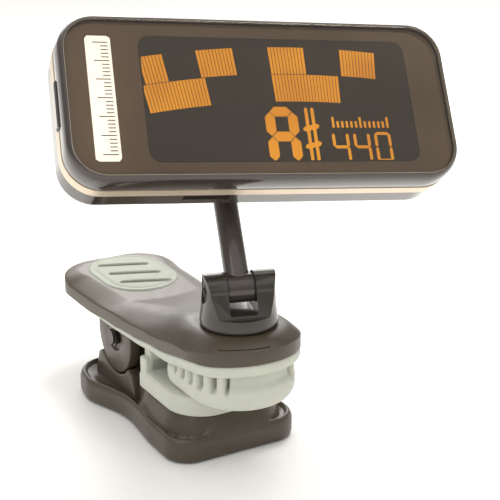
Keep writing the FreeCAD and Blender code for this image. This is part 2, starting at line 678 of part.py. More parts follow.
def rear_shell():
    """The back of the case, with the socket's fixed half, the battery opening and the USB opening."""
    y0 = BEZEL_DEPTH + TRIM_DEPTH + 2 * SEAM
    shell = head_prism(HEAD_W - 0.4, HEAD_H - 0.4, HEAD_CORNER - 0.2, y0, HEAD_DEPTH)
    shell = rounded_edges(shell, 2.4, "Y", HEAD_DEPTH)
    inner = head_prism(HEAD_W - 3.6, HEAD_H - 3.6, HEAD_CORNER - 1.8, y0 - 1, HEAD_DEPTH - 1.4)
    shell = shell.cut(rounded_edges(inner, 1.2, "Y", HEAD_DEPTH - 1.4))
    half_boss = boss_shape(BOSS_R).common(box(-BIG, BIG, HEAD_DEPTH - 1.4, BALL_Y, -BIG, BIG))
    shell = shell.fuse(half_boss)
    for x in (BALL_X - BOSS_LUG_X, BALL_X + BOSS_LUG_X):
        post = rod(2.0, Vector(x, HEAD_DEPTH - 1.4, BALL_Z), Vector(x, BALL_Y, BALL_Z))
        shell = shell.fuse(post).cut(rod(0.7, Vector(x, HEAD_DEPTH - 0.6, BALL_Z), Vector(x, BALL_Y, BALL_Z)))
    for x, z in screw_places():
        post = rod(POST_R, Vector(x, BOARD_Y + BOARD_T + 0.03, z), Vector(x, HEAD_DEPTH - 1.0, z))
        shell = shell.fuse(post)
        shell = shell.cut(rod(0.75, Vector(x, 0, z), Vector(x, 20, z)))
        shell = shell.cut(rod(1.4, Vector(x, HEAD_DEPTH - 0.9, z), Vector(x, 20, z)))
    shell = shell.cut(Part.makeSphere(CUP_OUT + RUN_FIT, BALL_POINT)).cut(neck_slot())
    shell = shell.cut(rod(DOOR_R + 0.12, Vector(CELL_X, HEAD_DEPTH - DOOR_T, 0), Vector(CELL_X, 20, 0)))
    shell = shell.cut(rod(CELL_R + 0.5, Vector(CELL_X, HEAD_DEPTH - 3, 0), Vector(CELL_X, 20, 0)))
    shell = shell.cut(box(USB_X - 4.2, USB_X + 4.2, USB_Y - 1.35, USB_Y + 1.35, -HEAD_H, -HEAD_H / 2 + 3))
    return shell.removeSplitter()


def socket_cap():
    """The outer half of the socket, with two lugs for its screws."""
    cap = boss_shape(BOSS_R).common(box(-BIG, BIG, BALL_Y + 0.05, BIG, -BIG, BIG))
    for side in (-1, 1):
        x = BALL_X + side * BOSS_LUG_X
        lug = rod(2.0, Vector(x, BALL_Y + 0.05, BALL_Z), Vector(x, BALL_Y + 1.0, BALL_Z))
        low, high = sorted((x, BALL_X + side * (BOSS_R - 1.2)))
        tie = box(low, high, BALL_Y + 0.05, BALL_Y + 1.0, BALL_Z - 1.8, BALL_Z + 1.8)
        cap = cap.fuse(lug).fuse(tie)
        cap = cap.cut(rod(0.85, Vector(x, BALL_Y - 3, BALL_Z), Vector(x, BALL_Y + 3, BALL_Z)))
    cap = cap.cut(Part.makeSphere(CUP_OUT + RUN_FIT, BALL_POINT)).cut(neck_slot())
    return cap.removeSplitter()


def small_screw(head_r, shank_r, length):
    """A pan-head screw along +Y, its head's underside at the origin and its shank towards -Y."""
    head = rod(head_r, Vector(0, 0, 0), Vector(0, 0.8, 0))
    head = head.makeFillet(0.25, edges_at(head, "Y", 0.8))
    screw = head.fuse(rod(shank_r, Vector(0, -length, 0), Vector(0, 0.1, 0)))
    for along, across in ((0.8 * head_r, 0.18), (0.18, 0.8 * head_r)):
        screw = screw.cut(box(-along, along, 0.4, 1.0, -across, across))
    return screw.removeSplitter()


def placed_screws(screw, points):
    """Copies of one screw at several points."""
    group = []
    for point in points:
        copy = screw.copy()
        copy.translate(point)
        group.append(copy)
    return Part.makeCompound(group)


def socket_screws():
    """The two screws that close the ball's socket."""
    points = [Vector(BALL_X + side * BOSS_LUG_X, BALL_Y + 1.0, BALL_Z) for side in (-1, 1)]
    return placed_screws(small_screw(1.5, 0.7, 4.2), points)


def case_screws():
    """The four screws that join the two shells."""
    points = [Vector(x, HEAD_DEPTH - 0.9, z) for x, z in screw_places()]
    return placed_screws(small_screw(1.3, 0.7, 7.0), points)


def battery_door():
    """The round door over the coin cell, turned with a coin."""
    y0 = HEAD_DEPTH - DOOR_T + 0.05
    door = rod(DOOR_R, Vector(CELL_X, y0, 0), Vector(CELL_X, HEAD_DEPTH - 0.05, 0))
    plug = rod(CELL_R - 0.4, Vector(CELL_X, y0 - 0.5, 0), Vector(CELL_X, y0, 0))
    slot = box(CELL_X - 4.5, CELL_X + 4.5, HEAD_DEPTH - 0.85, HEAD_DEPTH + 1, -0.9, 0.9)
    return door.fuse(plug).cut(slot).removeSplitter()


def door_seal():
    """The thin sealing ring under the battery door's edge."""
    low = Vector(CELL_X, HEAD_DEPTH - DOOR_T - 0.4, 0)
    return tube(CELL_R + 0.35, CELL_R - 0.3, low, low + Y_AXIS * 0.35)


def coin_cell():
    """The battery: a can and a smaller raised cap on its front."""
    back = HEAD_DEPTH - DOOR_T - 0.5
    can = rod(CELL_R, Vector(CELL_X, back - CELL_T + 0.5, 0), Vector(CELL_X, back, 0))
    cap = rod(CELL_R - 1.3, Vector(CELL_X, back - CELL_T, 0), Vector(CELL_X, back - CELL_T + 0.6, 0))
    return can.fuse(cap).removeSplitter()


def battery_contact():
    """The sprung contact blade beside the cell, standing on the board."""
    x = CELL_X - CELL_R - 0.5
    y0 = BOARD_Y + BOARD_T
    foot = box(x - 3.0, x, y0 + 0.02, y0 + 0.3, -2.0, 2.0)
    blade = box(x - 0.3, x, y0 + 0.02, y0 + 3.0, -2.0, 2.0)
    return foot.fuse(blade).removeSplitter()


def lcd_panel():
    """The display's glass."""
    glass = head_prism(50.4, 23.4, 0.5, LENS_T + 0.15, LENS_T + 1.9)
    glass.translate(Vector(DISPLAY_X, 0, 0))
    return glass


def backlight_panel():
    """The light guide behind the display's glass."""
    sheet = head_prism(49.8, 22.8, 0.5, LENS_T + 2.0, LENS_T + 3.6)
    sheet.translate(Vector(DISPLAY_X, 0, 0))
    return sheet


def lens_mask():
    """The printed strip behind the lens, left of the display."""
    strip = head_prism(5.4, 21.0, 0.4, LENS_T + 0.03, LENS_T + 0.13)
    strip.translate(Vector(-28.4, 0, 0))
    return strip


def main_board():
    """The circuit board, drilled for the case screws."""
    board = head_prism(65.0, 24.6, 4.5, BOARD_Y, BOARD_Y + BOARD_T)
    for x, z in screw_places():
        board = board.cut(rod(0.75, Vector(x, 0, z), Vector(x, 20, z)))
    return board


def board_chips():
    """The processor, the memory, the crystal and the regulator on the back of the board."""
    y0 = BOARD_Y + BOARD_T + 0.02
    chips = []
    for x, z, width, height, depth in ((-20.0, 3.0, 7.0, 7.0, 1.0), (-8.0, 6.5, 5.0, 4.0, 1.0),
                                       (-26.5, -7.0, 3.2, 1.5, 0.8), (2.0, -6.0, 3.0, 3.0, 1.1)):
        chips.append(box(x - width / 2, x + width / 2, y0, y0 + depth, z - height / 2, z + height / 2))
    return Part.makeCompound(chips)


def vibration_sensor():
    """The piezo disc that picks up the instrument's vibration, glued inside the back."""
    centre = Vector(-24.0, HEAD_DEPTH - 1.45, 0)
    disc = rod(4.5, centre - Y_AXIS * 0.25, centre)
    ceramic = rod(3.2, centre - Y_AXIS * 0.5, centre - Y_AXIS * 0.2)
    return disc.fuse(ceramic).removeSplitter()


def usb_socket():
    """The micro socket's shell, open at the bottom of the case."""
    y = USB_Y
    low = -HEAD_H / 2 + 0.7
    shell = box(USB_X - 3.9, USB_X + 3.9, y - 1.3, y + 1.2, low, low + 5.4)
    hollow = box(USB_X - 3.55, USB_X + 3.55, y - 0.95, y + 0.85, low - 1, low + 4.6)
    tongue = box(USB_X - 1.9, USB_X + 1.9, y - 0.3, y + 0.2, low + 1.0, low + 4.8)
    return shell.cut(hollow).fuse(tongue).removeSplitter()


def side_switch():
    """The tact switch that the side button presses."""
    y = BEZEL_DEPTH + SEAM / 2
    body = box(-31.6, -29.4, y - 1.2, y + 1.2, -2.4, 2.4)
    plunger = box(-32.0, -31.5, y - 0.6, y + 0.6, -1.0, 1.0)
    return body.fuse(plunger).removeSplitter()


def side_button():
    """The long button in the left wall, with the stem that reaches its switch."""
    y = BEZEL_DEPTH + SEAM / 2
    face_x = -HEAD_W / 2 - 0.35
    half_w = BUTTON_W / 2
    half_l = BUTTON_LEN / 2
    cap = box(face_x, -33.4, y - half_w, y + half_w, -half_l, half_l)
    cap = cap.makeFillet(0.3, edges_at(cap, "X", face_x))
    stem = box(-33.5, -32.55, y - 0.6, y + 0.6, -1.2, 1.2)
    return cap.fuse(stem).removeSplitter()


def build_head():
    """The arm, the ball joint and everything in the display head."""
    save("swivel_arm", swivel_arm(), ARM_FRAME)
    save("ball_stud", ball_stud(), BALL_FRAME)
    save("friction_cup", friction_cup(), CUP_FRAME)
    makers = (front_bezel, lens_window, trim_band, rear_shell, socket_cap, socket_screws, case_screws,
              battery_door, door_seal, coin_cell, battery_contact, lcd_panel, backlight_panel, lens_mask,
              main_board, board_chips, vibration_sensor, usb_socket, side_switch, side_button)
    for maker in makers:
        save(maker.__name__, maker(), HEAD_FRAME)


build_clamp()
build_turret()
build_head()
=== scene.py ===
import json
import math

import bmesh
import bpy
from mathutils import Matrix, Vector


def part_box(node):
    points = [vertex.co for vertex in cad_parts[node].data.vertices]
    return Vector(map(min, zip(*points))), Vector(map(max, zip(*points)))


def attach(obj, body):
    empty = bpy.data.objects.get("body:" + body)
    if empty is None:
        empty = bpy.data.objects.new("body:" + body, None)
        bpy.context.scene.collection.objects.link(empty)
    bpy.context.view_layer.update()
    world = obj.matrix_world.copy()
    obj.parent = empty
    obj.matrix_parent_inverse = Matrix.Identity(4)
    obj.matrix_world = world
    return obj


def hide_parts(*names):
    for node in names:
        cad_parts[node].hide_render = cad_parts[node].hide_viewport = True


# Clip-on tuner: the looks of the clamp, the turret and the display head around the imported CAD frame.
# Shapes are written in millimetres in the row frame, or in a part's own frame, and stored in metres.

MM = 0.001
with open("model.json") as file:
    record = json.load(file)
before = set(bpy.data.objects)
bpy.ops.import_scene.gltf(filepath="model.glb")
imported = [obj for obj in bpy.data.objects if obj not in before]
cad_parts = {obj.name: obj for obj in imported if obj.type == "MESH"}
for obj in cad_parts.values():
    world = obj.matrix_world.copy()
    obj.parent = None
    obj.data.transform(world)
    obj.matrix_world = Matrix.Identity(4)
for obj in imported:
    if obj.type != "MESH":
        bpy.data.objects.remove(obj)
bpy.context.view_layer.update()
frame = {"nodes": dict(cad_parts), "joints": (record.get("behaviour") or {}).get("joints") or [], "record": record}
joints = {joint["name"]: joint for joint in frame["joints"]}


# ---- places taken from the frame
def joint_point(name):
    """Where a joint's axis passes, in mm."""
    return Vector(joints[name]["pos_m"]) / MM


def joint_axis(name):
    """A joint's direction, as a unit vector."""
    return Vector(joints[name]["axis"]).normalized()


def axes_frame(origin, right, back):
    """A frame with X along right, Y along back and Z their cross product, its origin in mm."""
    x_axis = right.normalized()
    y_axis = (back - back.project(x_axis)).normalized()
    z_axis = x_axis.cross(y_axis)
    turn = Matrix((x_axis, y_axis, z_axis)).transposed().to_4x4()
    return Matrix.Translation(origin) @ turn


def local_box(node, place):
    """A CAD node's low and high corner in a frame of its own, in mm."""
    to_local = place.inverted()
    points = [to_local @ (vertex.co / MM) for vertex in frame["nodes"][node].data.vertices]
    return [Vector([pick(point[axis] for point in points) for axis in range(3)]) for pick in (min, max)]


def row_box(node):
    """A CAD node's low and high corner in the row frame, in mm."""
    low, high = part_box(node)
    return low / MM, high / MM


ROW = Matrix.Identity(4)
SWIVEL = joint_point("turret_swivel")
PIVOT = joint_point("jaw_open")
HINGE = joint_point("arm_tilt")

LEVER_LOW, LEVER_HIGH = row_box("upper_jaw")
THUMB_LOW, THUMB_HIGH = row_box("thumb_pad")
GRIP_LOW, GRIP_HIGH = row_box("grip_pad")
JAW_LOW, JAW_HIGH = row_box("lower_jaw")
LINING_LOW, LINING_HIGH = row_box("lower_jaw_lining")

TURRET = axes_frame(SWIVEL, -joint_axis("arm_tilt"), Vector((0, 0, 1)).cross(-joint_axis("arm_tilt")))

head_axes = axes_frame(Vector((0, 0, 0)), joint_axis("side_button_press"), joint_axis("battery_door_turn"))
lens_low, lens_high = local_box("lens_window", head_axes)
lens_centre = Vector(((lens_low.x + lens_high.x) / 2, lens_low.y, (lens_low.z + lens_high.z) / 2))
HEAD = Matrix.Translation(head_axes @ lens_centre) @ head_axes


# ---- materials
def linear(red, green, blue):
    """A linear colour from 0-255 display values."""
    shares = [value / 255 for value in (red, green, blue)]
    return (*[s / 12.92 if s <= 0.04045 else ((s + 0.055) / 1.055) ** 2.4 for s in shares], 1.0)


def scaled(colour, factor):
    """A colour made darker or lighter by a factor."""
    return tuple(min(channel * factor, 1.0) for channel in colour[:3]) + (1.0,)


def fill_ramp(ramp, stops):
    """Gives a colour ramp its (position, colour) stops."""
    while len(ramp.elements) < len(stops):
        ramp.elements.new(0.5)
    for element, (position, colour) in zip(ramp.elements, stops):
        element.position = position
        element.color = colour


def set_inputs(node, values):
    """Sets a node's inputs from a table of names and values."""
    for key, value in values.items():
        node.inputs[key].default_value = value


class Nodes:
    """A short way to build one material's node tree."""

    def __init__(self, name):
        """A new material with its shader, its output and its object coordinates."""
        self.material = bpy.data.materials.new(name)
        self.material.use_nodes = True
        self.tree = self.material.node_tree
        self.shader = self.tree.nodes["Principled BSDF"]
        self.output = self.tree.nodes["Material Output"]
        self.place = self.add("ShaderNodeTexCoord").outputs["Object"]

    def add(self, kind, **settings):
        """A new node of a kind, with its settings."""
        node = self.tree.nodes.new(kind)
        for key, value in settings.items():
            setattr(node, key, value)
        return node

    def link(self, source, target):
        """Joins an output to an input."""
        self.tree.links.new(source, target)

    def noise(self, scale, detail=3.0, roughness=0.55, stretch=None):
        """A noise pattern, scale in features per metre, stretched along an axis if asked."""
        node = self.add("ShaderNodeTexNoise")
        set_inputs(node, {"Scale": scale, "Detail": detail, "Roughness": roughness})
        source = self.place
        if stretch is not None:
            mapping = self.add("ShaderNodeMapping")
            mapping.inputs["Scale"].default_value = stretch
            self.link(source, mapping.inputs["Vector"])
            source = mapping.outputs["Vector"]
        self.link(source, node.inputs["Vector"])
        return node.outputs["Fac"]

    def ramp(self, factor, stops):
        """A colour ramp through (position, colour) stops."""
        node = self.add("ShaderNodeValToRGB")
        fill_ramp(node.color_ramp, stops)
        self.link(factor, node.inputs["Fac"])
        return node.outputs["Color"]

    def paint(self, pattern, dark, light):
        """Colours the shader from dark to light across a pattern's middle range."""
        self.link(self.ramp(pattern, [(0.3, dark), (0.7, light)]), self.shader.inputs["Base Color"])

    def roughen(self, pattern, low, high):
        """Gives the shader a roughness from low to high across a pattern's middle range."""
        node = self.add("ShaderNodeMapRange")
        set_inputs(node, {"From Min": 0.3, "From Max": 0.7, "To Min": low, "To Max": high})
        self.link(pattern, node.inputs["Value"])
        self.link(node.outputs["Result"], self.shader.inputs["Roughness"])

    def bump(self, height, strength, depth_mm):
        """Roughens the shader's surface by a height pattern."""
        node = self.add("ShaderNodeBump")
        set_inputs(node, {"Strength": strength, "Distance": depth_mm * MM})
        self.link(height, node.inputs["Height"])
        self.link(node.outputs["Normal"], self.shader.inputs["Normal"])


def moulded(name, colour, rough, grain, depth, mottle, constants=None):
    """Moulded plastic, rubber or paint: slight mottling, uneven roughness and a fine surface grain."""
    nodes = Nodes(name)
    base = linear(*colour)
    nodes.paint(nodes.noise(190.0, 4.0), scaled(base, 1 - mottle), scaled(base, 1 + mottle))
    nodes.roughen(nodes.noise(700.0, 5.0), *rough)
    nodes.bump(nodes.noise(grain, 2.0, 0.6), 0.35, depth)
    set_inputs(nodes.shader, constants or {})
    return nodes.material


def brushed(name, colour, rough, stretch, metallic):
    """Metal or metallic paint with fine drawn lines along one axis."""
    nodes = Nodes(name)
    base = linear(*colour)
    lines = nodes.noise(9000.0, 2.0, 0.5, stretch)
    nodes.paint(lines, scaled(base, 0.9), scaled(base, 1.08))
    nodes.roughen(lines, *rough)
    nodes.bump(lines, 0.15, 0.01)
    set_inputs(nodes.shader, {"Metallic": metallic})
    return nodes.material


def glowing(name, colour, strength):
    """Lit display segments, slightly uneven like a real backlight."""
    nodes = Nodes(name)
    base = linear(*colour)
    glow = nodes.noise(120.0, 1.0)
    tint = nodes.ramp(glow, [(0.35, scaled(base, 0.9)), (0.65, scaled(base, 1.1))])
    nodes.link(tint, nodes.shader.inputs["Emission Color"])
    nodes.paint(glow, scaled(base, 0.05), scaled(base, 0.06))
    set_inputs(nodes.shader, {"Emission Strength": strength, "Roughness": 0.6})
    return nodes.material


def tinted_lens(name):
    """The clear, faintly smoked window: it mirrors by angle and lets the display through."""
    nodes = Nodes(name)
    clear = nodes.add("ShaderNodeBsdfTransparent")
    smoke = nodes.ramp(nodes.noise(60.0, 1.0), [(0.3, linear(226, 218, 208)), (0.7, linear(232, 226, 216))])
    nodes.link(smoke, clear.inputs["Color"])
    mirror = nodes.add("ShaderNodeFresnel")
    mirror.inputs["IOR"].default_value = 1.42
    set_inputs(nodes.shader, {"Base Color": (1.0, 0.95, 0.9, 1.0), "Metallic": 1.0, "Roughness": 0.03})
    mix = nodes.add("ShaderNodeMixShader")
    nodes.link(mirror.outputs["Fac"], mix.inputs["Fac"])
    nodes.link(clear.outputs["BSDF"], mix.inputs[1])
    nodes.link(nodes.shader.outputs["BSDF"], mix.inputs[2])
    nodes.link(mix.outputs["Shader"], nodes.output.inputs["Surface"])
    return nodes.material


def circuit_board(name):
    """Green lacquer over a fine net of tracks."""
    nodes = Nodes(name)
    cells = nodes.add("ShaderNodeTexVoronoi", feature="DISTANCE_TO_EDGE")
    cells.inputs["Scale"].default_value = 420.0
    nodes.link(nodes.place, cells.inputs["Vector"])
    tracks = nodes.ramp(cells.outputs["Distance"],
                        [(0.03, linear(60, 132, 84)), (0.07, linear(20, 84, 48))])
    nodes.link(tracks, nodes.shader.inputs["Base Color"])
    nodes.roughen(nodes.noise(800.0), 0.28, 0.42)
    nodes.bump(cells.outputs["Distance"], 0.2, 0.03)
    return nodes.material


MOULDED = {  # colour, roughness range, grain, its depth, mottling and constants
    "lever_plastic": ((76, 67, 54), (0.33, 0.39), 5200.0, 0.006, 0.03),
    "soft_rubber": ((200, 203, 190), (0.58, 0.7), 3600.0, 0.02, 0.04,
                    {"Sheen Weight": 0.15, "Subsurface Weight": 0.12, "Subsurface Scale": 0.002}),
    "thumb_rubber": ((160, 166, 152), (0.5, 0.62), 3600.0, 0.02, 0.04),
    # groove_tone_and_shade is the grooves' darker grey: partly their own colour, partly painted shade in the
    # recesses
    "groove_tone_and_shade": ((122, 118, 108), (0.5, 0.62), 3600.0, 0.02, 0.04),
    "case_gloss": ((58, 50, 46), (0.1, 0.16), 2400.0, 0.002, 0.05,
                   {"Coat Weight": 0.6, "Coat Roughness": 0.04}),
    "arm_gloss": ((66, 58, 53), (0.16, 0.24), 3000.0, 0.004, 0.05,
                  {"Coat Weight": 0.4, "Coat Roughness": 0.08}),
    "turret_gloss": ((54, 48, 42), (0.2, 0.26), 3600.0, 0.003, 0.04,
                     {"Coat Weight": 0.35, "Coat Roughness": 0.08}),
    "nylon": ((72, 67, 61), (0.45, 0.6), 2600.0, 0.02, 0.07),
    "lcd_glass": ((26, 24, 23), (0.4, 0.5), 1500.0, 0.0, 0.04),
    "display_unlit": ((44, 40, 37), (0.4, 0.5), 1500.0, 0.0, 0.04),
    "lens_print": ((156, 141, 127), (0.4, 0.5), 1800.0, 0.0, 0.03),
    # painted_edge_highlight is a pale colour for the thin band round the window: a painted highlight on its bevel
    "painted_edge_highlight": ((206, 196, 182), (0.25, 0.35), 2400.0, 0.002, 0.03),
    # painted_shadow_black is the near-black of the line round the display's window: a painted shadow at its edge
    "painted_shadow_black": ((20, 18, 17), (0.5, 0.6), 2400.0, 0.002, 0.05),
    "light_guide": ((228, 230, 226), (0.4, 0.55), 2200.0, 0.02, 0.07),
    # strip_white glows: painted light that brightens the white print, which is no lamp
    "strip_white": ((244, 243, 238), (0.45, 0.6), 2600.0, 0.004, 0.02,
                    {"Emission Color": linear(246, 250, 255), "Emission Strength": 1.7}),
    "chip_black": ((38, 38, 40), (0.5, 0.65), 6000.0, 0.02, 0.07),
    "floor_paper": ((250, 249, 247), (0.7, 0.85), 900.0, 0.01, 0.005),
}
BRUSHED = {  # colour, roughness range, the drawn lines' stretch and how metallic
    "trim_satin": ((232, 214, 190), (0.3, 0.4), (1.0, 6.0, 1.0), 0.55),
    "steel_bright": ((196, 194, 190), (0.2, 0.32), (1.0, 4.0, 1.0), 1.0),
    "steel_dark": ((92, 86, 82), (0.3, 0.42), (1.0, 4.0, 1.0), 1.0),
    "brass_disc": ((206, 172, 98), (0.26, 0.38), (4.0, 4.0, 1.0), 1.0),
    "cell_steel": ((200, 200, 198), (0.22, 0.34), (1.0, 5.0, 1.0), 1.0),
}
LOOKS = {name: moulded(name, *row) for name, row in MOULDED.items()}
LOOKS.update({name: brushed(name, *row) for name, row in BRUSHED.items()})
LOOKS["lens_tint"] = tinted_lens("lens_tint")
LOOKS["board_green"] = circuit_board("board_green")
LOOKS["display_amber"] = glowing("display_amber", (252, 168, 14), 1.25)


# ---- mesh helpers
def rectangle(x_range, y_range):
    """The corners of a rectangle, anticlockwise from the lower left."""
    (x0, x1), (y0, y1) = x_range, y_range
    return [(x0, y0), (x1, y0), (x1, y1), (x0, y1)]


def rounded_rectangle(x_range, y_range, radius, count):
    """count points evenly spaced round a rectangle with one corner radius."""
    return rounded_outline([(x, y, radius) for x, y in rectangle(x_range, y_range)], count)


def arc(centre, radii, start_deg, sweep_deg, steps):
    """Points along an arc, with a radius for each direction, as pairs."""
    (x, y), (wide, tall) = centre, radii
    angles = [math.radians(start_deg + sweep_deg * step / steps) for step in range(steps + 1)]
    return [(x + wide * math.cos(angle), y + tall * math.sin(angle)) for angle in angles]


def rounded_outline(corners, count):
    """count points evenly spaced round a closed outline of (x, y, radius) corners."""
    path = []
    for index, (x, y, radius) in enumerate(corners):
        here = Vector((x, y))
        before = Vector(corners[index - 1][:2])
        after = Vector(corners[(index + 1) % len(corners)][:2])
        to_before = (before - here).normalized()
        to_after = (after - here).normalized()
        half_angle = to_before.angle(to_after) / 2
        reach = radius / math.tan(half_angle)
        centre = here + (to_before + to_after).normalized() * (radius / math.sin(half_angle))
        first = here + to_before * reach - centre
        last = here + to_after * reach - centre
        for step in range(25):
            path.append(centre + first.lerp(last, step / 24).normalized() * radius)
    return evenly_spaced(path, count)


def nosed_outline(half, y_range, nose_radius, back_radius, count):
    """A strip in plan, with one corner radius at its nose and another at its back."""
    front, back = y_range
    corners = [(-half, front, nose_radius), (half, front, nose_radius), (half, back, back_radius),
               (-half, back, back_radius)]
    return rounded_outline(corners, count)


def evenly_spaced(path, count):
    """A closed path walked again in equal steps."""
    closed = path + path[:1]
    lengths = [0.0]
    for start, end in zip(closed, closed[1:]):
        lengths.append(lengths[-1] + (end - start).length)
    points = []
    index = 0
    for step in range(count):
        target = lengths[-1] * step / count
        while lengths[index + 1] < target:
            index += 1
        span = lengths[index + 1] - lengths[index]
        share = (target - lengths[index]) / span if span > 0 else 0.0
        points.append(closed[index].lerp(closed[index + 1], share))
    return points


def inward_normals(outline):
    """The inward direction at each point of an outline that runs anticlockwise."""
    normals = []
    for index in range(len(outline)):
        along = outline[(index + 1) % len(outline)] - outline[index - 1]
        normals.append(Vector((-along.y, along.x)).normalized())
    return normals


def inset_outline(outline, distance):
    """The outline moved inwards by distance."""
    return [point + inward * distance for point, inward in zip(outline, inward_normals(outline))]


def raised(point, height):
    """A plan point put at a height."""
    return Vector((point.x, point.y, height))


def at_height(points, height):
    """(x, y) points put at one height."""
    return [Vector((x, y, height)) for x, y in points]


def at_depth(points, depth):
    """(x, z) points put at one depth in the head's frame."""
    return [Vector((x, depth, z)) for x, z in points]


def lofted(rings, capped=True):
    """Vertices and faces through rings of equal length, with flat caps at both ends."""
    count = len(rings[0])
    vertices = [point for ring in rings for point in ring]
    faces = []
    for level in range(len(rings) - 1):
        for index in range(count):
            following = (index + 1) % count
            faces.append((level * count + index, level * count + following,
                          (level + 1) * count + following, (level + 1) * count + index))
    if capped:
        faces.append(tuple(reversed(range(count))))
        faces.append(tuple(range((len(rings) - 1) * count, len(rings) * count)))
    return vertices, faces


def hoop(rings):
    """A closed band through rings, from the last back to the first."""
    return lofted(rings + rings[:1], capped=False)


def side_plate(outline, x_range, side=1):
    """A (y, z) outline given a thickness along X, on one side of the middle."""
    return lofted([[Vector((side * x, y, z)) for y, z in outline] for x in x_range])


def add_object(name, data):
    """A new object in the scene."""
    made_object = bpy.data.objects.new(name, data)
    bpy.context.scene.collection.objects.link(made_object)
    return made_object


def make_mesh(name, shapes, place=ROW, sharp_angle=32.0):
    """A smooth-shaded object from (vertices, faces) shapes in mm, stored in metres in the row frame."""
    mesh = bpy.data.meshes.new(name)
    builder = bmesh.new()
    for vertices, faces in shapes:
        made = [builder.verts.new((place @ Vector(vertex)) * MM) for vertex in vertices]
        for face in faces:
            builder.faces.new([made[index] for index in face])
    bmesh.ops.remove_doubles(builder, verts=builder.verts, dist=0.0005 * MM)
    bmesh.ops.dissolve_degenerate(builder, edges=builder.edges, dist=0.0004 * MM)
    bmesh.ops.recalc_face_normals(builder, faces=builder.faces)
    builder.to_mesh(mesh)
    builder.free()
    made_object = add_object(name, mesh)
    shade(made_object, sharp_angle)
    return made_object


def shade(piece, sharp_angle=32.0):
    """Smooth shading that keeps edges over sharp_angle crisp."""
    piece.data.polygons.foreach_set("use_smooth", [True] * len(piece.data.polygons))
    piece.data.set_sharp_from_angle(angle=math.radians(sharp_angle))
    piece.data.update()


def bake(piece):
    """Applies a piece's modifiers to its mesh."""
    graph = bpy.context.evaluated_depsgraph_get()
    shape = bpy.data.meshes.new_from_object(piece.evaluated_get(graph))
    piece.modifiers.clear()
    piece.data = shape


def combined(piece, shapes, place=ROW, operation="DIFFERENCE"):
    """Cuts shapes from the piece, or keeps what they share with it."""
    tools = [make_mesh("tool", [shape], place) for shape in shapes]
    for tool in tools:
        modifier = piece.modifiers.new(operation, "BOOLEAN")
        modifier.operation = operation
        modifier.object = tool
        modifier.solver = "EXACT"
    bake(piece)
    for tool in tools:
        bpy.data.objects.remove(tool)
    return piece


def softened(piece, width_mm):
    """Rounds every sharp edge of a piece."""
    modifier = piece.modifiers.new("edges", "BEVEL")
    modifier.width = width_mm * MM
    modifier.segments = 3
    modifier.limit_method = "ANGLE"
    modifier.angle_limit = math.radians(30.0)
    bake(piece)
    shade(piece, 40.0)
    return piece


def wear(piece, look):
    """Gives a piece one material, by the name of its look."""
    piece.data.materials.clear()
    piece.data.materials.append(LOOKS[look])


def finish_piece(piece, body, slot_name, look=None, stands_for=None):
    """Gives a piece its body, its material slot and its look, which is the slot's own unless named."""
    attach(piece, body)
    wear(piece, look or slot_name)
    if stands_for:
        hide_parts(stands_for)


def block(x_range, y_range, z_range):
    """A box between three ranges, in mm."""
    return lofted([at_height(rectangle(x_range, y_range), z) for z in z_range])


def circle(centre, first, second, radius, count):
    """A ring of points round a centre, in the plane of two directions."""
    angles = [2 * math.pi * step / count for step in range(count)]
    return [centre + (first * math.cos(angle) + second * math.sin(angle)) * radius for angle in angles]


def turned(profile, start, axis, count=64):
    """A surface turned about an axis through start: profile is (radius, distance along) pairs."""
    axis = axis.normalized()
    side = axis.orthogonal().normalized()
    other = axis.cross(side)
    return lofted([circle(start + axis * along, side, other, radius, count) for radius, along in profile])


def smooth_step(value):
    """0 below zero, 1 above one and a smooth curve between."""
    value = min(max(value, 0.0), 1.0)
    return value * value * (3 - 2 * value)


def between(value, table):
    """A smooth reading between (position, value) rows."""
    if value <= table[0][0]:
        return table[0][1]
    for (start, low), (end, high) in zip(table, table[1:]):
        if value <= end:
            return low + (high - low) * smooth_step((value - start) / (end - start))
    return table[-1][1]


def inset_rings(outline, rows, line=((0.0, 0.0),)):
    """A ring for each (inset, rise) row, at a rise above a line of (y, height) rows."""
    rings = []
    for inset, rise in rows:
        rings.append([raised(p, between(p.y, line) + rise) for p in inset_outline(outline, inset)])
    return rings


# ---- upper lever
NOSE_R = SWIVEL.y - LEVER_LOW.y
BAND_INSET = 0.22  # from the lever's edge to the top of its edge band
FLANK_FOOT = BAND_INSET + 0.02
TAIL_HALF = LEVER_HIGH.x
TAIL_Y = LEVER_HIGH.y
TAIL_CORNER = 8.5
LEVER_TOP = LEVER_HIGH.z
SLOPE_START = SWIVEL.y + 7.8  # the top is level round the turret, then falls to the thumb's zone
SLOPE_END = 8.0
THUMB_LEVEL = 20.9

# Lines along the lever, as (y, height) rows: the flank's foot, the edge band's foot and the underside.
RIDGE = [(-31, 24.25), (-27, 23.8), (-18.6, 22.5), (-6.5, 20.9), (4.3, 20.05), (18.5, 19.2), (27, 19.1),
         (34, 20.0), (37.5, 20.2)]
SKIRT = [(-32, 21.7), (-24, 21.0), (-8, 18.8), (0, 17.9), (10, 17.2), (21, 16.4), (30, 16.6), (39, 17.4)]
UNDERSIDE = [(-33, 20.1), (-12.5, 20.1), (9, 18.3), (39, 17.25)]

# The soft rim's depth, the flank's width and how strongly it bends, where 1 is a straight facet.
RIM_DEPTH = [(-32, 2.3), (-24, 2.3), (-16, 2.3), (-8, 1.8), (0, 1.4), (10.5, 0.95), (19, 0.08), (20.5, -0.15)]
SHOULDER = [(-31, 3.4), (-20, 3.7), (-4, 8.6), (12, 4.6), (24, 4.0), (37, 3.2)]
ROUNDNESS = [(-31, 1.6), (-4, 2.0), (14, 1.35), (37, 1.3)]


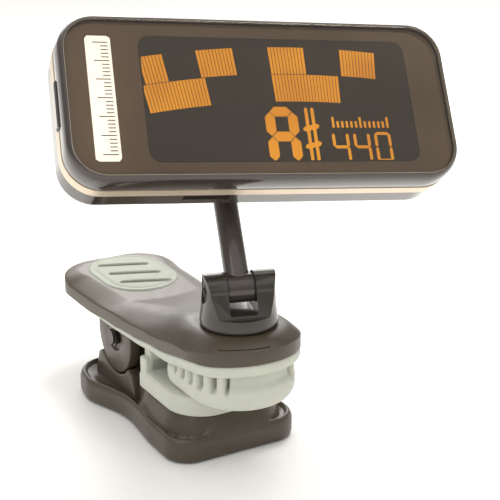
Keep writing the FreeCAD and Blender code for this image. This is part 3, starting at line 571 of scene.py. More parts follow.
def lever_outline():
    """The lever in plan: a full round nose, and a wider tail with rounded corners."""
    corners = [(-NOSE_R, LEVER_LOW.y, NOSE_R - 0.02), (NOSE_R, LEVER_LOW.y, NOSE_R - 0.02),
               (TAIL_HALF, TAIL_Y, TAIL_CORNER), (-TAIL_HALF, TAIL_Y, TAIL_CORNER)]
    return rounded_outline(corners, 288)


def soft_ramp(value, width):
    """0 below zero and value above it, with a rounded knee."""
    return 0.5 * (value + math.sqrt(value * value + width * width))


def lever_top(x, y):
    """Height of the lever's top without its flanks: level, a slope, then the level zone for the thumb."""
    end = SLOPE_END + 0.03 * x * x
    slope = (LEVER_TOP - THUMB_LEVEL) / (end - SLOPE_START)
    return LEVER_TOP - slope * (soft_ramp(y - SLOPE_START, 2.2) - soft_ramp(y - end, 1.0))


def lever_spine(point):
    """The middle line that the lever's rings close on."""
    return Vector((0.0, min(max(point.y, SWIVEL.y), TAIL_Y - 12.8)))


def lever_shell():
    """The lever: a crowned body whose flanks fall from a soft crease to a ridge above its edge band."""
    outline = lever_outline()
    rings = []
    for share in (1.0, 0.6, 0.3):
        places = [point.lerp(lever_spine(point), share) for point in outline]
        rings.append([raised(place, between(place.y, UNDERSIDE)) for place in places])
    rings += inset_rings(outline, [(1.4, 0.0)], UNDERSIDE)
    rings += inset_rings(outline, [(1.3, 0.0), (0.12, 0.0), (0.0, 0.12)], SKIRT)
    rings += inset_rings(outline, [(0.0, -0.4), (0.06, -0.16), (BAND_INSET, -0.03)], RIDGE)
    for share in (0.1, 0.2, 0.32, 0.44, 0.56, 0.68, 0.78, 0.86, 0.93, 1.0):
        ring = []
        for point in outline:
            spine = lever_spine(point)
            inset = FLANK_FOOT + share * (between(point.y, SHOULDER) - FLANK_FOOT)
            place = point.lerp(spine, min(inset / (spine - point).length, 1.0))
            drop = lever_top(point.x, point.y) - between(point.y, RIDGE)
            fall = drop * (1 - share) ** between(point.y, ROUNDNESS)
            ring.append(raised(place, lever_top(place.x, place.y) - fall))
        rings.append(ring)
    for step in range(1, 13):
        ring = []
        for point in outline:
            spine = lever_spine(point)
            start = point.lerp(spine, min(between(point.y, SHOULDER) / (spine - point).length, 1.0))
            place = start.lerp(spine, step / 12)
            ring.append(raised(place, lever_top(place.x, place.y)))
        rings.append(ring)
    shell = make_mesh("lever_shell", [lofted(rings, capped=False)], sharp_angle=38.0)
    return combined(shell, [swivel_slit()])


def swivel_slit():
    """The fine curved slit in the lever's top, in front of the turret."""
    middle = (SWIVEL.x, SWIVEL.y)
    plan = arc(middle, (10.12, 10.12), -140.0, 52.0, 48) + arc(middle, (10.36, 10.36), -88.0, -52.0, 48)
    return lofted([at_height(plan, z) for z in (LEVER_TOP - 2.2, LEVER_TOP + 1.0)])


def build_lever():
    """The lever's shell, its two pivot ears and its soft rim."""
    shell = lever_shell()
    shade(shell, 38.0)
    finish_piece(shell, "upper_jaw", "lever_plastic", stands_for="upper_jaw")
    for side, name in SIDES:
        finish_piece(lever_ear(side, name), "upper_jaw", "lever_plastic")
    finish_piece(lever_rim(), "upper_jaw", "soft_rubber", stands_for="upper_jaw_rim")


def lever_rim():
    """The soft rim under the lever's edge: a rounded band that thins out and ends towards the tail."""
    outline = lever_outline()
    rings = []
    profile = ((1.3, 0.0), (0.45, 0.0), (0.16, 0.1), (0.05, 0.28), (0.05, 0.5), (0.16, 0.72), (0.42, 0.9),
               (0.8, 0.99), (1.3, 1.0))
    for inset, share in profile:
        edge = inset_outline(outline, inset)
        rings.append([raised(p, between(p.y, SKIRT) + 0.02 - share * between(p.y, RIM_DEPTH)) for p in edge])
    return make_mesh("lever_rim", [hoop(rings)], sharp_angle=60.0)


EAR_IN = 8.4
EAR_OUT = 10.6
EAR_R = 7.2
EAR_ROOT = 18.6
EAR_GAP = 0.4  # between the lever's ear and the cradle under it
PIN_MIDDLE = Vector((0, PIVOT.y, PIVOT.z))
SIDES = ((-1, "left"), (1, "right"))


def lever_ear(side, name):
    """One pivot ear under the lever: a rounded tongue with a recess round the pin."""
    outline = arc((PIVOT.y, PIVOT.z), (EAR_R, EAR_R), 180, 180, 48)
    outline += [(PIVOT.y + EAR_R, EAR_ROOT), (PIVOT.y - EAR_R, EAR_ROOT)]
    ear = make_mesh("lever_ear_" + name, [side_plate(outline, (EAR_IN, EAR_OUT), side)])
    axis = Vector((side, 0, 0))
    seat = turned([(2.9, EAR_OUT - 0.55), (2.9, EAR_OUT + 1.0)], PIN_MIDDLE, axis)
    bore = turned([(1.55, EAR_IN - 1.0), (1.55, EAR_OUT + 1.0)], PIN_MIDDLE, axis)
    return softened(combined(ear, [seat, bore]), 0.35)


# ---- thumb pad
def build_thumb_pad():
    """The oval pad on the lever, with three grooves across it, darker inside: partly their own colour, partly
    painted shade in the recesses.
    """
    columns = 96
    rows = 200
    vertices = []
    for row in range(rows + 1):
        share = 0.5 - 0.5 * math.cos(math.pi * row / rows)
        along = THUMB_LOW.y + 0.02 + (THUMB_HIGH.y - THUMB_LOW.y - 0.04) * share
        wide = math.sqrt(max(THUMB_HALF ** 2 - (along - thumb_spine(along)) ** 2, 0.0))
        for column in range(columns + 1):
            across = wide * math.sin(math.pi * (column / columns - 0.5))
            vertices.append(thumb_point(across, along))
    faces = []
    for row in range(rows):
        for column in range(columns):
            corner = row * (columns + 1) + column
            faces.append((corner, corner + 1, corner + columns + 2, corner + columns + 1))
    pad = make_mesh("thumb_grip", [(vertices, faces)], sharp_angle=75.0)
    finish_piece(pad, "upper_jaw", "soft_rubber", "thumb_rubber", stands_for="thumb_pad")
    # the grooves get a darker grey: partly their own colour, partly painted shade in the recesses
    pad.data.materials.append(LOOKS["groove_tone_and_shade"])
    for polygon in pad.data.polygons:
        middle = polygon.center / MM
        if groove_distance(middle.x, middle.y) < -0.28:
            polygon.material_index = 1


THUMB_HALF = (THUMB_HIGH.x - THUMB_LOW.x) / 2
GROOVES = [THUMB_LOW.y + (THUMB_HIGH.y - THUMB_LOW.y) * share for share in (0.225, 0.465, 0.71)]
GROOVE_SLANT = math.radians(22.0)
GROOVE_HALF = 4.5  # half a groove's length between the centres of its round ends
GROOVE_R = 0.95


def thumb_spine(y):
    """The nearest place to y on the pad's middle line, which ends a half width before each end."""
    return min(max(y, THUMB_LOW.y + THUMB_HALF), THUMB_HIGH.y - THUMB_HALF)


def groove_distance(x, y):
    """Distance to the nearest groove's edge, negative inside it."""
    nearest = 100.0
    for groove in GROOVES:
        along = x * math.cos(GROOVE_SLANT) - (y - groove) * math.sin(GROOVE_SLANT)
        across = x * math.sin(GROOVE_SLANT) + (y - groove) * math.cos(GROOVE_SLANT)
        nearest = min(nearest, math.hypot(max(abs(along) - GROOVE_HALF, 0.0), across))
    return nearest - GROOVE_R


def thumb_point(x, y):
    """A point of the pad's surface: domed, rounded at its border and sunk in its grooves."""
    inside = THUMB_HALF - math.hypot(x, y - thumb_spine(y))
    lift = 0.6 * smooth_step(inside / 0.9) - 0.35 + 0.12 * smooth_step(inside / THUMB_HALF)
    ring_groove = 0.16 * math.exp(-((inside - 1.7) / 0.5) ** 2)
    sink = 0.6 * smooth_step(-groove_distance(x, y) / 0.6)
    return Vector((x, y, lever_top(x, y) + lift - ring_groove - sink))


# ---- grip pad
def build_grip_pad():
    """The soft block under the nose: a bulging foot, and five ribs high on each side."""
    radius = GRIP_HIGH.x
    outline = nosed_outline(radius, (GRIP_LOW.y, GRIP_HIGH.y), radius - 0.02, 2.2, 560)
    normals = inward_normals(outline)
    depths = [0.0, 0.8, 1.6, 2.2, 2.6, 2.9, 3.2, 3.5, 3.8, 4.2, 4.8, 5.6, 6.3, 6.8, 7.15, 7.4, 7.58, 7.65]
    profile = [(0.0, 0.95), (2.2, 0.95), (2.7, 0.8), (3.3, 0.2), (3.8, 0.03), (4.6, 0.0), (5.6, 0.06),
               (6.5, 0.3), (7.0, 0.65), (7.4, 1.2), (7.65, 2.0)]
    scale = (GRIP_HIGH.z - GRIP_LOW.z) / depths[-1]
    rings = []
    for depth in depths:
        plain = between(depth, profile)
        ring = []
        for point, inward in zip(outline, normals):
            walked = side_length(point)
            inset = plain + (rib_inset(walked) - plain) * rib_share(walked, depth)
            ring.append(raised(point + inward * inset, GRIP_HIGH.z - depth * scale))
        rings.append(ring)
    pad = make_mesh("grip_block", [lofted(rings)], sharp_angle=60.0)
    finish_piece(pad, "upper_jaw", "soft_rubber", stands_for="grip_pad")


RIB_PITCH = 2.95
RIB_START = 4.1
RIB_END = RIB_START + 5 * RIB_PITCH


def side_length(point):
    """How far an outline point is from the pad's back corner, walked along its own side."""
    straight = GRIP_HIGH.y - SWIVEL.y
    forward = SWIVEL.y - point.y
    if forward <= 0:
        return GRIP_HIGH.y - point.y
    return straight + math.atan2(forward, abs(point.x)) * straight


def rib_share(walked, depth):
    """1 where the ribs show, fading to 0 before them, behind them and below them."""
    ends = smooth_step((walked - RIB_START + 0.3) / 0.6) * smooth_step((RIB_END + 0.3 - walked) / 0.6)
    return ends * (1.0 - smooth_step(depth - 3.3))


def rib_inset(walked):
    """Half-round ribs that stand out to the pad's foot, with deep notches between them."""
    phase = ((walked - RIB_START) / RIB_PITCH) % 1.0
    across = abs(phase - 0.5) / 0.34
    if across >= 1.0:
        return 2.7
    return 0.12 + 1.2 * (1 - math.sqrt(1 - across * across))


# ---- lower jaw
PLATFORM_TOP = LINING_LOW.z
JAW_HALF = 13.2
LIP = [(0.0, 3.4), (0.25, 4.15), (0.55, 4.52), (0.8, 4.6), (1.1, 4.4), (1.5, 3.9), (3.6, 3.5)]
JAW_SHARES = (0.0, 0.01, 0.02, 0.032, 0.045, 0.058, 0.07, 0.082, 0.095, 0.108, 0.12, 0.134, 0.15, 0.165,
              0.18, 0.2, 0.22, 0.24, 0.26, 0.285, 0.31, 0.35, 0.4, 0.46, 0.52, 0.58, 0.64, 0.7, 0.76, 0.82,
              0.88, 0.94, 1.0)  # steps from the outline to the spine, closest together over the lip


def lower_outline():
    """The lower jaw in plan, narrowest at its waist behind the platform."""
    right = [(JAW_HALF, JAW_LOW.y, 5.0), (JAW_HALF, -9.0, 14.0), (JAW_HALF - 1.2, 3.0, 20.0),
             (JAW_HIGH.x + 0.35, 13.5, 7.0), (JAW_HIGH.x - 1.15, JAW_HIGH.y, 6.5)]
    left = [(-x, y, radius) for x, y, radius in reversed(right)]
    return rounded_outline(left[-1:] + right + left[:-1], 320)


def box_distance(x, y, centre_y, half_x, half_y, radius):
    """Distance to a rounded rectangle's edge in plan, negative inside it."""
    over_x = abs(x) - half_x + radius
    over_y = abs(y - centre_y) - half_y + radius
    outside = math.hypot(max(over_x, 0.0), max(over_y, 0.0))
    return outside + min(max(over_x, over_y), 0.0) - radius


def lower_height(x, y, inset):
    """The lower jaw's upper surface: a rolled lip, a shallow dish and the raised platform."""
    lip = between(inset, LIP)
    nose = box_distance(x, y, -8.25, 11.25, 11.3, 7.6)
    rise = min(max((0.75 - nose) / 1.6, 0.0), 1.0)
    rear = box_distance(x, y, 0.6, 9.6, 1.4, 0.5)
    shelf = PLATFORM_TOP * rise + lip * (1 - rise)
    hollow = smooth_step((y - 3.0) / 2.0) * smooth_step((-box_distance(x, y, 12.0, 9.6, 9.2, 3.0)) / 1.0)
    shelf = shelf - 1.3 * hollow * (1 - rise)
    return shelf + (PLATFORM_TOP + 1.5 - shelf) * smooth_step((0.25 - rear) / 0.5)


def build_lower_jaw():
    """The lower jaw's shell, the ears that hold the pin and the cradles round the lever's ears."""
    outline = lower_outline()
    rings = inset_rings(outline, [(1.1, 0.0), (0.45, 0.08), (0.12, 0.35), (0.0, 0.9), (0.0, 2.3)])
    for share in JAW_SHARES:
        ring = []
        for point in outline:
            spine = Vector((0.0, min(max(point.y, -9.0), 12.0)))
            place = point.lerp(spine, share)
            ring.append(raised(place, lower_height(place.x, place.y, (place - point).length)))
        rings.append(ring)
    vertices, faces = lofted(rings)
    base = make_mesh("lower_shell", [(vertices, faces[:-1])], sharp_angle=50.0)
    finish_piece(base, "lower_jaw", "lever_plastic", stands_for="lower_jaw")
    for side, name in SIDES:
        finish_piece(pin_cheek(side, name), "lower_jaw", "lever_plastic")
        finish_piece(saddle(side, name), "lower_jaw", "lever_plastic")


def pin_cheek(side, name):
    """The lower jaw's own ear, inside the lever's ear, that holds the pin."""
    outline = arc((PIVOT.y, PIVOT.z), (3.8, 3.8), 0, 180, 32)
    outline += [(PIVOT.y - 5.8, 3.0), (PIVOT.y + 5.8, 3.0)]
    cheek = make_mesh("pin_cheek_" + name, [side_plate(outline, (5.6, 8.0), side)])
    bore = turned([(1.52, 4.0), (1.52, 10.0)], PIN_MIDDLE, Vector((side, 0, 0)))
    return softened(combined(cheek, [bore]), 0.3)


def saddle(side, name):
    """The cradle that stands round the bottom of the lever's ear, a running gap away from it."""
    outline = arc((PIVOT.y, PIVOT.z), (EAR_R + EAR_GAP, EAR_R + EAR_GAP), 220, 100, 40)
    outline += [(PIVOT.y + 7.6, 8.2), (PIVOT.y + 9.2, 3.2), (PIVOT.y - 9.2, 3.2), (PIVOT.y - 7.6, 8.2)]
    return softened(make_mesh("saddle_" + name, [side_plate(outline, (8.35, 10.7), side)]), 0.4)


SPRING_LOW, SPRING_HIGH = row_box("torsion_spring")
SPRING_TURNS = 5.5
SPRING_WIRE = 0.6
SPRING_HALF = SPRING_HIGH.x - 0.68  # from the middle to each leg's own middle
SPRING_R = SPRING_HIGH.z - PIVOT.z - 0.7  # to the middle of the wire


def coil_point(turn):
    """A point of the coil, which starts below the pin and ends above it."""
    angle = 2 * math.pi * turn
    along = SPRING_HALF * (2 * turn / SPRING_TURNS - 1)
    return Vector((along, PIVOT.y - SPRING_R * math.sin(angle), PIVOT.z - SPRING_R * math.cos(angle)))


def wire(path, radius):
    """A round wire along a path that winds about X."""
    rings = []
    for index, point in enumerate(path):
        before = path[max(index - 1, 0)]
        after = path[min(index + 1, len(path) - 1)]
        forward = (after - before).normalized()
        out = forward.cross(Vector((1, 0, 0))).normalized()
        rings.append(circle(point, out, forward.cross(out), radius, 16))
    return lofted(rings)


def build_spring():
    """The coil stays with the lower jaw, and the upper leg turns with the lever about the same pin."""
    fixed_turns = SPRING_TURNS - 20 / 360
    arc_start = SPRING_TURNS - 60 / 360
    low_end = Vector((-SPRING_HALF, SPRING_HIGH.y - 0.5, SPRING_LOW.z + 0.74))
    high_end = Vector((SPRING_HALF, SPRING_HIGH.y - 0.5, PIVOT.z + SPRING_R - 0.8))
    coil_path = [low_end] + [coil_point(fixed_turns * step / 260) for step in range(261)]
    coil = make_mesh("spring_coil", [wire(coil_path, SPRING_WIRE)], sharp_angle=60.0)
    finish_piece(coil, "lower_jaw", "steel_dark", stands_for="torsion_spring")
    turn_range = SPRING_TURNS - arc_start
    leg_path = [coil_point(arc_start + turn_range * step / 12) for step in range(13)] + [high_end]
    leg = make_mesh("spring_leg", [wire(leg_path, SPRING_WIRE + 0.03)], sharp_angle=60.0)
    finish_piece(leg, "upper_jaw", "steel_dark")


def build_lining():
    """The soft L-shaped lining: a pad on the platform that turns up into the throat's back wall."""
    back = LINING_HIGH.y
    top = GRIP_LOW.z - 0.35
    rings = inset_rings(nosed_outline(LINING_HIGH.x, (LINING_LOW.y, back), 7.2, 0.7, 220), [
        (0.25, PLATFORM_TOP), (0.0, PLATFORM_TOP + 0.3), (0.0, top - 1.3), (0.12, top - 0.7),
        (0.42, top - 0.25), (0.9, top - 0.04), (1.5, top)])
    floor_pad = make_mesh("lining_floor", [lofted(rings)])
    finish_piece(floor_pad, "lower_jaw", "soft_rubber", stands_for="lower_jaw_lining")
    upright = make_mesh("lining_wall", [block((-9.6, 9.6), (back - 2.6, back), (top - 1.0, LINING_HIGH.z)),
                                        block((-10.6, 10.6), (back - 2.6, back), (top - 1.0, 14.2))])
    finish_piece(softened(upright, 0.45), "lower_jaw", "soft_rubber")


# ---- turret
def build_turret():
    """The turret: a tapering drum whose upper part is cut back to two round-topped ears."""
    top = local_box("turret_yoke", TURRET)[1].z
    hinge = HINGE.z - SWIVEL.z
    profile = [(6.6, 0.05), (6.95, 0.25), (7.0, 0.8), (6.9, 1.6), (6.75, 2.6), (6.6, 4.0), (6.5, hinge),
               (6.45, top)]
    drum = make_mesh("turret_drum", [turned(profile, Vector((0, 0, 0)), Vector((0, 0, 1)), 96)], TURRET)
    side_view = arc((0.0, hinge), (3.15, 3.0), 0, 180, 32)
    side_view += [(-5.0, 2.5), (-8.0, 2.5), (-8.0, -1.0), (8.0, -1.0), (8.0, 2.5), (5.0, 2.5)]
    combined(drum, [side_plate(side_view, (-9.0, 9.0))], TURRET, "INTERSECT")
    gap = []
    for z, half in ((2.9, 2.35), (3.4, 2.5), (hinge + 5.0, 2.5)):
        gap.append(at_height(rectangle((-half, half), (-9, 9)), z))
    cuts = [lofted(gap)]
    for side in (-1, 1):
        cuts.append(turned([(2.3, 4.9), (2.3, 8.0)], Vector((0, 0, hinge)), Vector((side, 0, 0))))
    softened(combined(drum, cuts, TURRET), 0.22)
    finish_piece(drum, "turret", "lever_plastic", "turret_gloss", stands_for="turret_yoke")


# ---- display head
def head_outline(width, height, corner):
    """A rounded rectangle about the middle of the window, in the head's X and Z."""
    return rounded_rectangle((-width / 2, width / 2), (-height / 2, height / 2), corner, 256)


def head_sweep(name, size, profile, closed=True, sharp_angle=50.0):
    """A band round the head: profile is (inset, depth) pairs from the rounded rectangle size."""
    width, height, corner = size
    rings = []
    for inset, depth in profile:
        outline = head_outline(width - 2 * inset, height - 2 * inset, max(corner - inset, 0.4))
        rings.append(at_depth(outline, depth))
    return make_mesh(name, [hoop(rings) if closed else lofted(rings)], HEAD, sharp_angle)


BEZEL_LOW, BEZEL_HIGH = local_box("front_bezel", HEAD)
BEZEL = (BEZEL_HIGH.x - BEZEL_LOW.x, BEZEL_HIGH.z - BEZEL_LOW.z, 6.6)
LENS_LOW, LENS_HIGH = local_box("lens_window", HEAD)
LENS = (LENS_HIGH.x - LENS_LOW.x, LENS_HIGH.z - LENS_LOW.z, 5.6)
PANEL_LOW, PANEL_HIGH = local_box("lcd_panel", HEAD)
STRIP_LOW, STRIP_HIGH = local_box("lens_mask", HEAD)
BUTTON_LOW, BUTTON_HIGH = local_box("side_button", HEAD)
WINDOW_LEFT = PANEL_LOW.x + 0.95
WINDOW_RIGHT = PANEL_HIGH.x - 0.5
WINDOW_X = (WINDOW_LEFT + WINDOW_RIGHT) / 2
WINDOW_HALF_H = (PANEL_HIGH.z - PANEL_LOW.z - 0.6) / 2
WINDOW_CORNER = 1.9
PRINT_DEPTH = LENS_HIGH.y + 0.02  # just behind the window's back face
BUTTON_ROOM = 0.7  # how far the case's recess goes behind the button, for its travel


def build_front_shell():
    """The case's front half, rounded at its face, with a recess for the side button."""
    back = BEZEL_HIGH.y
    shell = head_sweep("front_shell", BEZEL, [
        (3.0, back), (0.12, back), (0.0, back - 0.2), (0.0, 3.2), (0.02, 2.4), (0.1, 1.6), (0.24, 1.0),
        (0.44, 0.55), (0.66, 0.26), (0.86, 0.12), (0.9, 0.3), (0.9, 1.4), (3.0, 1.5)])
    room = block((BEZEL_LOW.x - 2, BUTTON_HIGH.x + BUTTON_ROOM), (BUTTON_LOW.y - 0.15, BUTTON_HIGH.y + 0.15),
                 (BUTTON_LOW.z - 0.15, BUTTON_HIGH.z + 0.15))
    combined(shell, [room], HEAD)
    shade(shell, 40.0)
    finish_piece(shell, "head", "case_gloss", stands_for="front_bezel")


def build_lens():
    """The window itself, with a light line round it: a painted highlight on a thin bevel band."""
    thickness = LENS_HIGH.y - LENS_LOW.y
    pane = head_sweep("lens_pane", LENS, [
        (0.5, thickness), (0.1, thickness), (0.02, thickness - 0.1), (0.0, 0.3), (0.08, 0.1), (0.28, 0.0),
        (0.32, 0.0), (0.6, 0.0)], closed=False)
    finish_piece(pane, "head", "lens_tint", stands_for="lens_window")
    # the band's pale colour is a painted highlight along the window's bevel
    line = head_sweep("lens_highlight_band", LENS, [(-0.06, 0.34), (-0.06, 0.16), (0.0, 0.1), (0.02, 0.34)],
                      sharp_angle=80.0)
    finish_piece(line, "head", "trim_satin", "painted_edge_highlight")


def window_outline(grow, count):
    """The outline of the display's opening, made larger all round by grow."""
    half = WINDOW_HALF_H + grow
    return rounded_rectangle((WINDOW_LEFT - grow, WINDOW_RIGHT + grow), (-half, half), WINDOW_CORNER + grow,
                             count)


def build_print():
    """The dark print behind the window, with an opening for the display and a near-black line round the opening, a
    painted shadow at its edge.
    """
    outer = head_outline(LENS[0] - 0.2, LENS[1] - 0.2, LENS[2] - 0.1)
    opening = window_outline(0.0, 720)
    middle = Vector((WINDOW_X, 0.0))
    inner = []
    for point in outer:
        ray = (point - middle).normalized()
        inner.append(max(opening, key=lambda q: (q - middle).normalized().dot(ray)))
    rings = []
    for plan, depth in ((outer, 0.0), (inner, 0.0), (inner, 0.03), (outer, 0.03)):
        rings.append(at_depth(plan, PRINT_DEPTH + depth))
    finish_piece(make_mesh("lens_print", [hoop(rings)], HEAD, 60.0), "head", "lens_tint", "lens_print")
    # the line round the opening is a painted shadow, in near-black
    rings = []
    for grow, depth in ((-0.05, -0.015), (0.25, -0.015), (0.25, -0.003), (-0.05, -0.003)):
        rings.append(at_depth(window_outline(grow, 256), PRINT_DEPTH + depth))
    finish_piece(make_mesh("window_shadow_line", [hoop(rings)], HEAD, 60.0), "head", "lens_tint", "painted_shadow_black")


def flat_plates(name, outlines, depth, thickness=0.03):
    """Thin plates with (x, z) outlines, their faces at a depth in the head's frame."""
    shapes = [lofted([at_depth(points, y) for y in (depth + thickness, depth)]) for points in outlines]
    return make_mesh(name, shapes, HEAD)


ARC_X = WINDOW_X + 3.3  # the strobe rows bend about a centre far below the window
ARC_Z = -150.0
ROW_TOP = 10.15
ROW_HEIGHT = 5.25
BAR_PITCH = 0.62
BAR_WIDTH = 0.5
DISPLAY_LEFT = WINDOW_LEFT - 0.65
LIT_BLOCKS = ((0.1, 4.2, 0), (10.5, 17.4, 0), (23.8, 30.5, 0), (37.4, 44.0, 0), (-0.6, 10.9, 1),
              (23.75, 36.9, 1))  # each as (start, end, row), from DISPLAY_LEFT
UNLIT_BLOCKS = ((4.5, 10.3, 0), (17.7, 23.5, 0), (30.8, 36.9, 0), (11.3, 23.4, 1), (37.3, 48.0, 1))


def arc_point(x, radius):
    """A point of a strobe row: x measured along the row, radius from the rows' centre."""
    angle = (x - ARC_X) / (ROW_TOP - ARC_Z)
    return (ARC_X + radius * math.sin(angle), ARC_Z + radius * math.cos(angle))


def row_patch(x0, x1, row, margin):
    """The outline of a stretch of a strobe row, margin inside the row's two edges."""
    low = ROW_TOP - ARC_Z - ROW_HEIGHT * (row + 1) + margin
    high = ROW_TOP - ARC_Z - ROW_HEIGHT * row - margin
    return [arc_point(x0, low), arc_point(x1, low), arc_point(x1, high), arc_point(x0, high)]


def strobe_bars(x0, x1, row):
    """The fine upright bars of one lit block."""
    starts = [x0 + index * BAR_PITCH for index in range(round((x1 - x0) / BAR_PITCH))]
    return [row_patch(start, start + BAR_WIDTH, row, 0.06) for start in starts]


SEGMENTS = {  # the strokes of a seven-segment figure, in figure widths and heights
    "a": ((0, 1), (1, 1)), "b": ((1, 1), (1, 0.5)), "c": ((1, 0.5), (1, 0)), "d": ((0, 0), (1, 0)),
    "e": ((0, 0.5), (0, 0)), "f": ((0, 1), (0, 0.5)), "g": ((0, 0.5), (1, 0.5)),
}
FIGURES = {"A": "abcefg", "4": "bcfg", "0": "abcdef"}


def stroke(start, end, width, shorten):
    """A pointed bar between two points, as segment displays have."""
    start, end = Vector(start), Vector(end)
    along = (end - start).normalized()
    across = Vector((-along.y, along.x)) * width / 2
    first = start + along * shorten
    last = end - along * shorten
    tip = along * width / 2
    return [first, first + tip - across, last - tip - across, last, last - tip + across, first + tip + across]


def figure(letter, x, z, width, height, line):
    """The lit strokes of one figure with its lower left corner at x, z."""
    bars = []
    for name in FIGURES[letter]:
        start, end = [(x + across * width, z + up * height) for across, up in SEGMENTS[name]]
        bars.append(stroke(start, end, line, line * 0.05))
    return bars


def sharp_sign(x, z, width, height, line):
    """Two uprights and two rising bars."""
    bars = [stroke((left, z), (left, z + height), line, 0.0) for left in (x + width * 0.32, x + width * 0.68)]
    for level in (z + height * 0.3, z + height * 0.62):
        bars.append(stroke((x, level - 0.35), (x + width, level + 0.45), line * 1.5, 0.0))
    return bars


def build_display():
    """The lit segments, with a note name, a pitch and a scale, and the faint unlit ones."""
    face = PANEL_LOW.y - 0.05
    left = DISPLAY_LEFT
    lit = []
    for start, end, row in LIT_BLOCKS:
        lit += strobe_bars(left + start, left + end, row)
    lit += figure("A", left + 22.5, -11.55, 4.2, 9.3, 1.8)
    lit += sharp_sign(left + 28.3, -11.6, 3.2, 10.2, 0.6)
    for index, letter in enumerate("440"):
        lit += figure(letter, left + 33.8 + 4.0 * index, -11.4, 2.6, 5.1, 0.55)
    for index in range(13):
        x = left + 33.9 + 0.86 * index
        tall = 2.0 if index % 6 == 0 else 1.2
        lit.append(rectangle((x, x + 0.42), (-5.2, -5.2 + tall)))
    finish_piece(flat_plates("display_segments", lit, face), "head", "light_guide", "display_amber")
    dark = [row_patch(left + start, left + end, row, 0.1) for start, end, row in UNLIT_BLOCKS]
    for index in range(5):
        x = left + 9.0 + 3.0 * index
        dark.append(stroke((x, -9.3), (x, -6.2), 0.5, 0.0))
    finish_piece(flat_plates("display_ghosts", dark, face + 0.01), "head", "lcd_glass", "display_unlit")


def build_strip():
    """The white strip beside the display, printed with a plain scale of ticks; its material's glow is painted
    light, as the strip is no lamp.
    """
    face = PRINT_DEPTH - 0.012
    x_range = (STRIP_LOW.x + 0.5, STRIP_HIGH.x - 0.5)
    low, high = STRIP_LOW.z - 0.9, STRIP_HIGH.z + 0.9
    strip = flat_plates("white_strip_painted_glow", [rounded_rectangle(x_range, (low, high), 0.4, 64)], face, 0.02)
    finish_piece(strip, "head", "strip_white", stands_for="lens_mask")
    ticks = []
    right = x_range[1] - 0.5
    for index in range(31):
        z = low + 1.2 + (high - low - 2.4) * index / 30
        reach = 2.6 if index % 5 == 0 else 1.3
        ticks.append(rectangle((right - reach, right), (z - 0.09, z + 0.09)))
    finish_piece(flat_plates("strip_ticks", ticks, face - 0.006, 0.004), "head", "chip_black")


# ---- CAD nodes that stay
def dress_cad_nodes():
    """Every CAD node gets its slot's material."""
    for subpart in frame["record"]["subparts"]:
        wear(frame["nodes"][subpart["node"]], subpart["material_slot"])


# ---- floor, lights and camera
FLOOR_HALF = 6.0  # metres, large enough for its far edge to stay out of sight
FLOOR_LEVEL = -0.0002


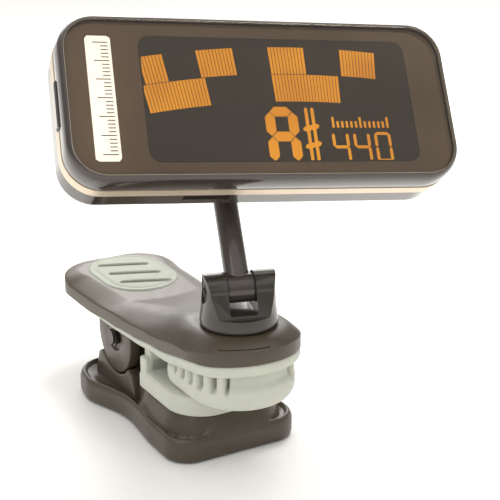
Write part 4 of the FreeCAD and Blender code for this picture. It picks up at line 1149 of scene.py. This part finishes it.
def build_stage():
    """A pale floor that fades into a white surround."""
    mesh = bpy.data.meshes.new("floor")
    plan = rectangle((-FLOOR_HALF, FLOOR_HALF), (-FLOOR_HALF, FLOOR_HALF))
    mesh.from_pydata([(x, y, FLOOR_LEVEL) for x, y in plan], [], [(0, 1, 2, 3)])
    floor = add_object("floor", mesh)
    mesh.materials.append(LOOKS["floor_paper"])
    world = bpy.data.worlds.new("studio")
    bpy.context.scene.world = world
    world.use_nodes = True
    tree = world.node_tree
    direction = tree.nodes.new("ShaderNodeTexCoord")
    split = tree.nodes.new("ShaderNodeSeparateXYZ")
    sky = tree.nodes.new("ShaderNodeValToRGB")
    levels = ((0.0, 0.55), (0.12, 0.34), (0.3, 0.4), (0.55, 0.85), (1.0, 1.25))
    fill_ramp(sky.color_ramp, [(place, (level, level * 0.985, level * 0.96, 1.0)) for place, level in levels])
    tree.links.new(direction.outputs["Generated"], split.inputs["Vector"])
    tree.links.new(split.outputs["Z"], sky.inputs["Fac"])
    tree.links.new(sky.outputs["Color"], tree.nodes["Background"].inputs["Color"])


def aim(thing, place, target):
    """Puts a lamp or camera at place, in mm, looking at target."""
    thing.location = Vector(place) * MM
    thing.rotation_mode = "QUATERNION"
    thing.rotation_quaternion = (Vector(target) - Vector(place)).normalized().to_track_quat("-Z", "Y")


def area_light(name, place, target, size, power, colour=(1.0, 0.98, 0.95)):
    """A soft square light at place, in mm, aimed at target."""
    data = bpy.data.lights.new(name, "AREA")
    data.shape = "RECTANGLE"
    data.size = size[0] * MM
    data.size_y = size[1] * MM
    data.energy = power
    data.color = colour
    aim(add_object(name, data), place, target)


CAMERA_AZIMUTH = -30.0
CAMERA_ELEVATION = 19.0
CAMERA_DISTANCE = 239.0
CAMERA_AIM = Vector((3.8, -17.4, 37.5))


def build_camera():
    """A long lens, so that the object keeps its proportions."""
    azimuth = math.radians(CAMERA_AZIMUTH)
    elevation = math.radians(CAMERA_ELEVATION)
    back = Vector((math.sin(azimuth) * math.cos(elevation), -math.cos(azimuth) * math.cos(elevation),
                   math.sin(elevation)))
    data = bpy.data.cameras.new("camera")
    data.lens = 97.2
    data.sensor_width = 36.0
    data.clip_start = 0.01
    data.clip_end = 20.0
    camera = add_object("camera", data)
    aim(camera, CAMERA_AIM + back * CAMERA_DISTANCE, CAMERA_AIM)
    bpy.context.scene.camera = camera


def build_lights():
    """A key light above, a fill from the left and two lights behind."""
    middle = (0, -10, 35)
    area_light("key", (230, 120, 430), middle, (220, 220), 1.3)
    area_light("fill", (-320, -160, 260), middle, (260, 260), 0.25, (0.97, 0.98, 1.0))
    area_light("rim", (60, 380, 220), middle, (260, 160), 0.3)
    area_light("back", (200, 345, 165), (0, 20, 20), (300, 130), 0.4)


bpy.context.scene.view_settings.view_transform = "Standard"
dress_cad_nodes()
build_lever()
build_thumb_pad()
build_grip_pad()
build_lower_jaw()
build_spring()
build_lining()
build_turret()
build_front_shell()
build_lens()
build_print()
build_display()
build_strip()
build_stage()
build_lights()
build_camera()
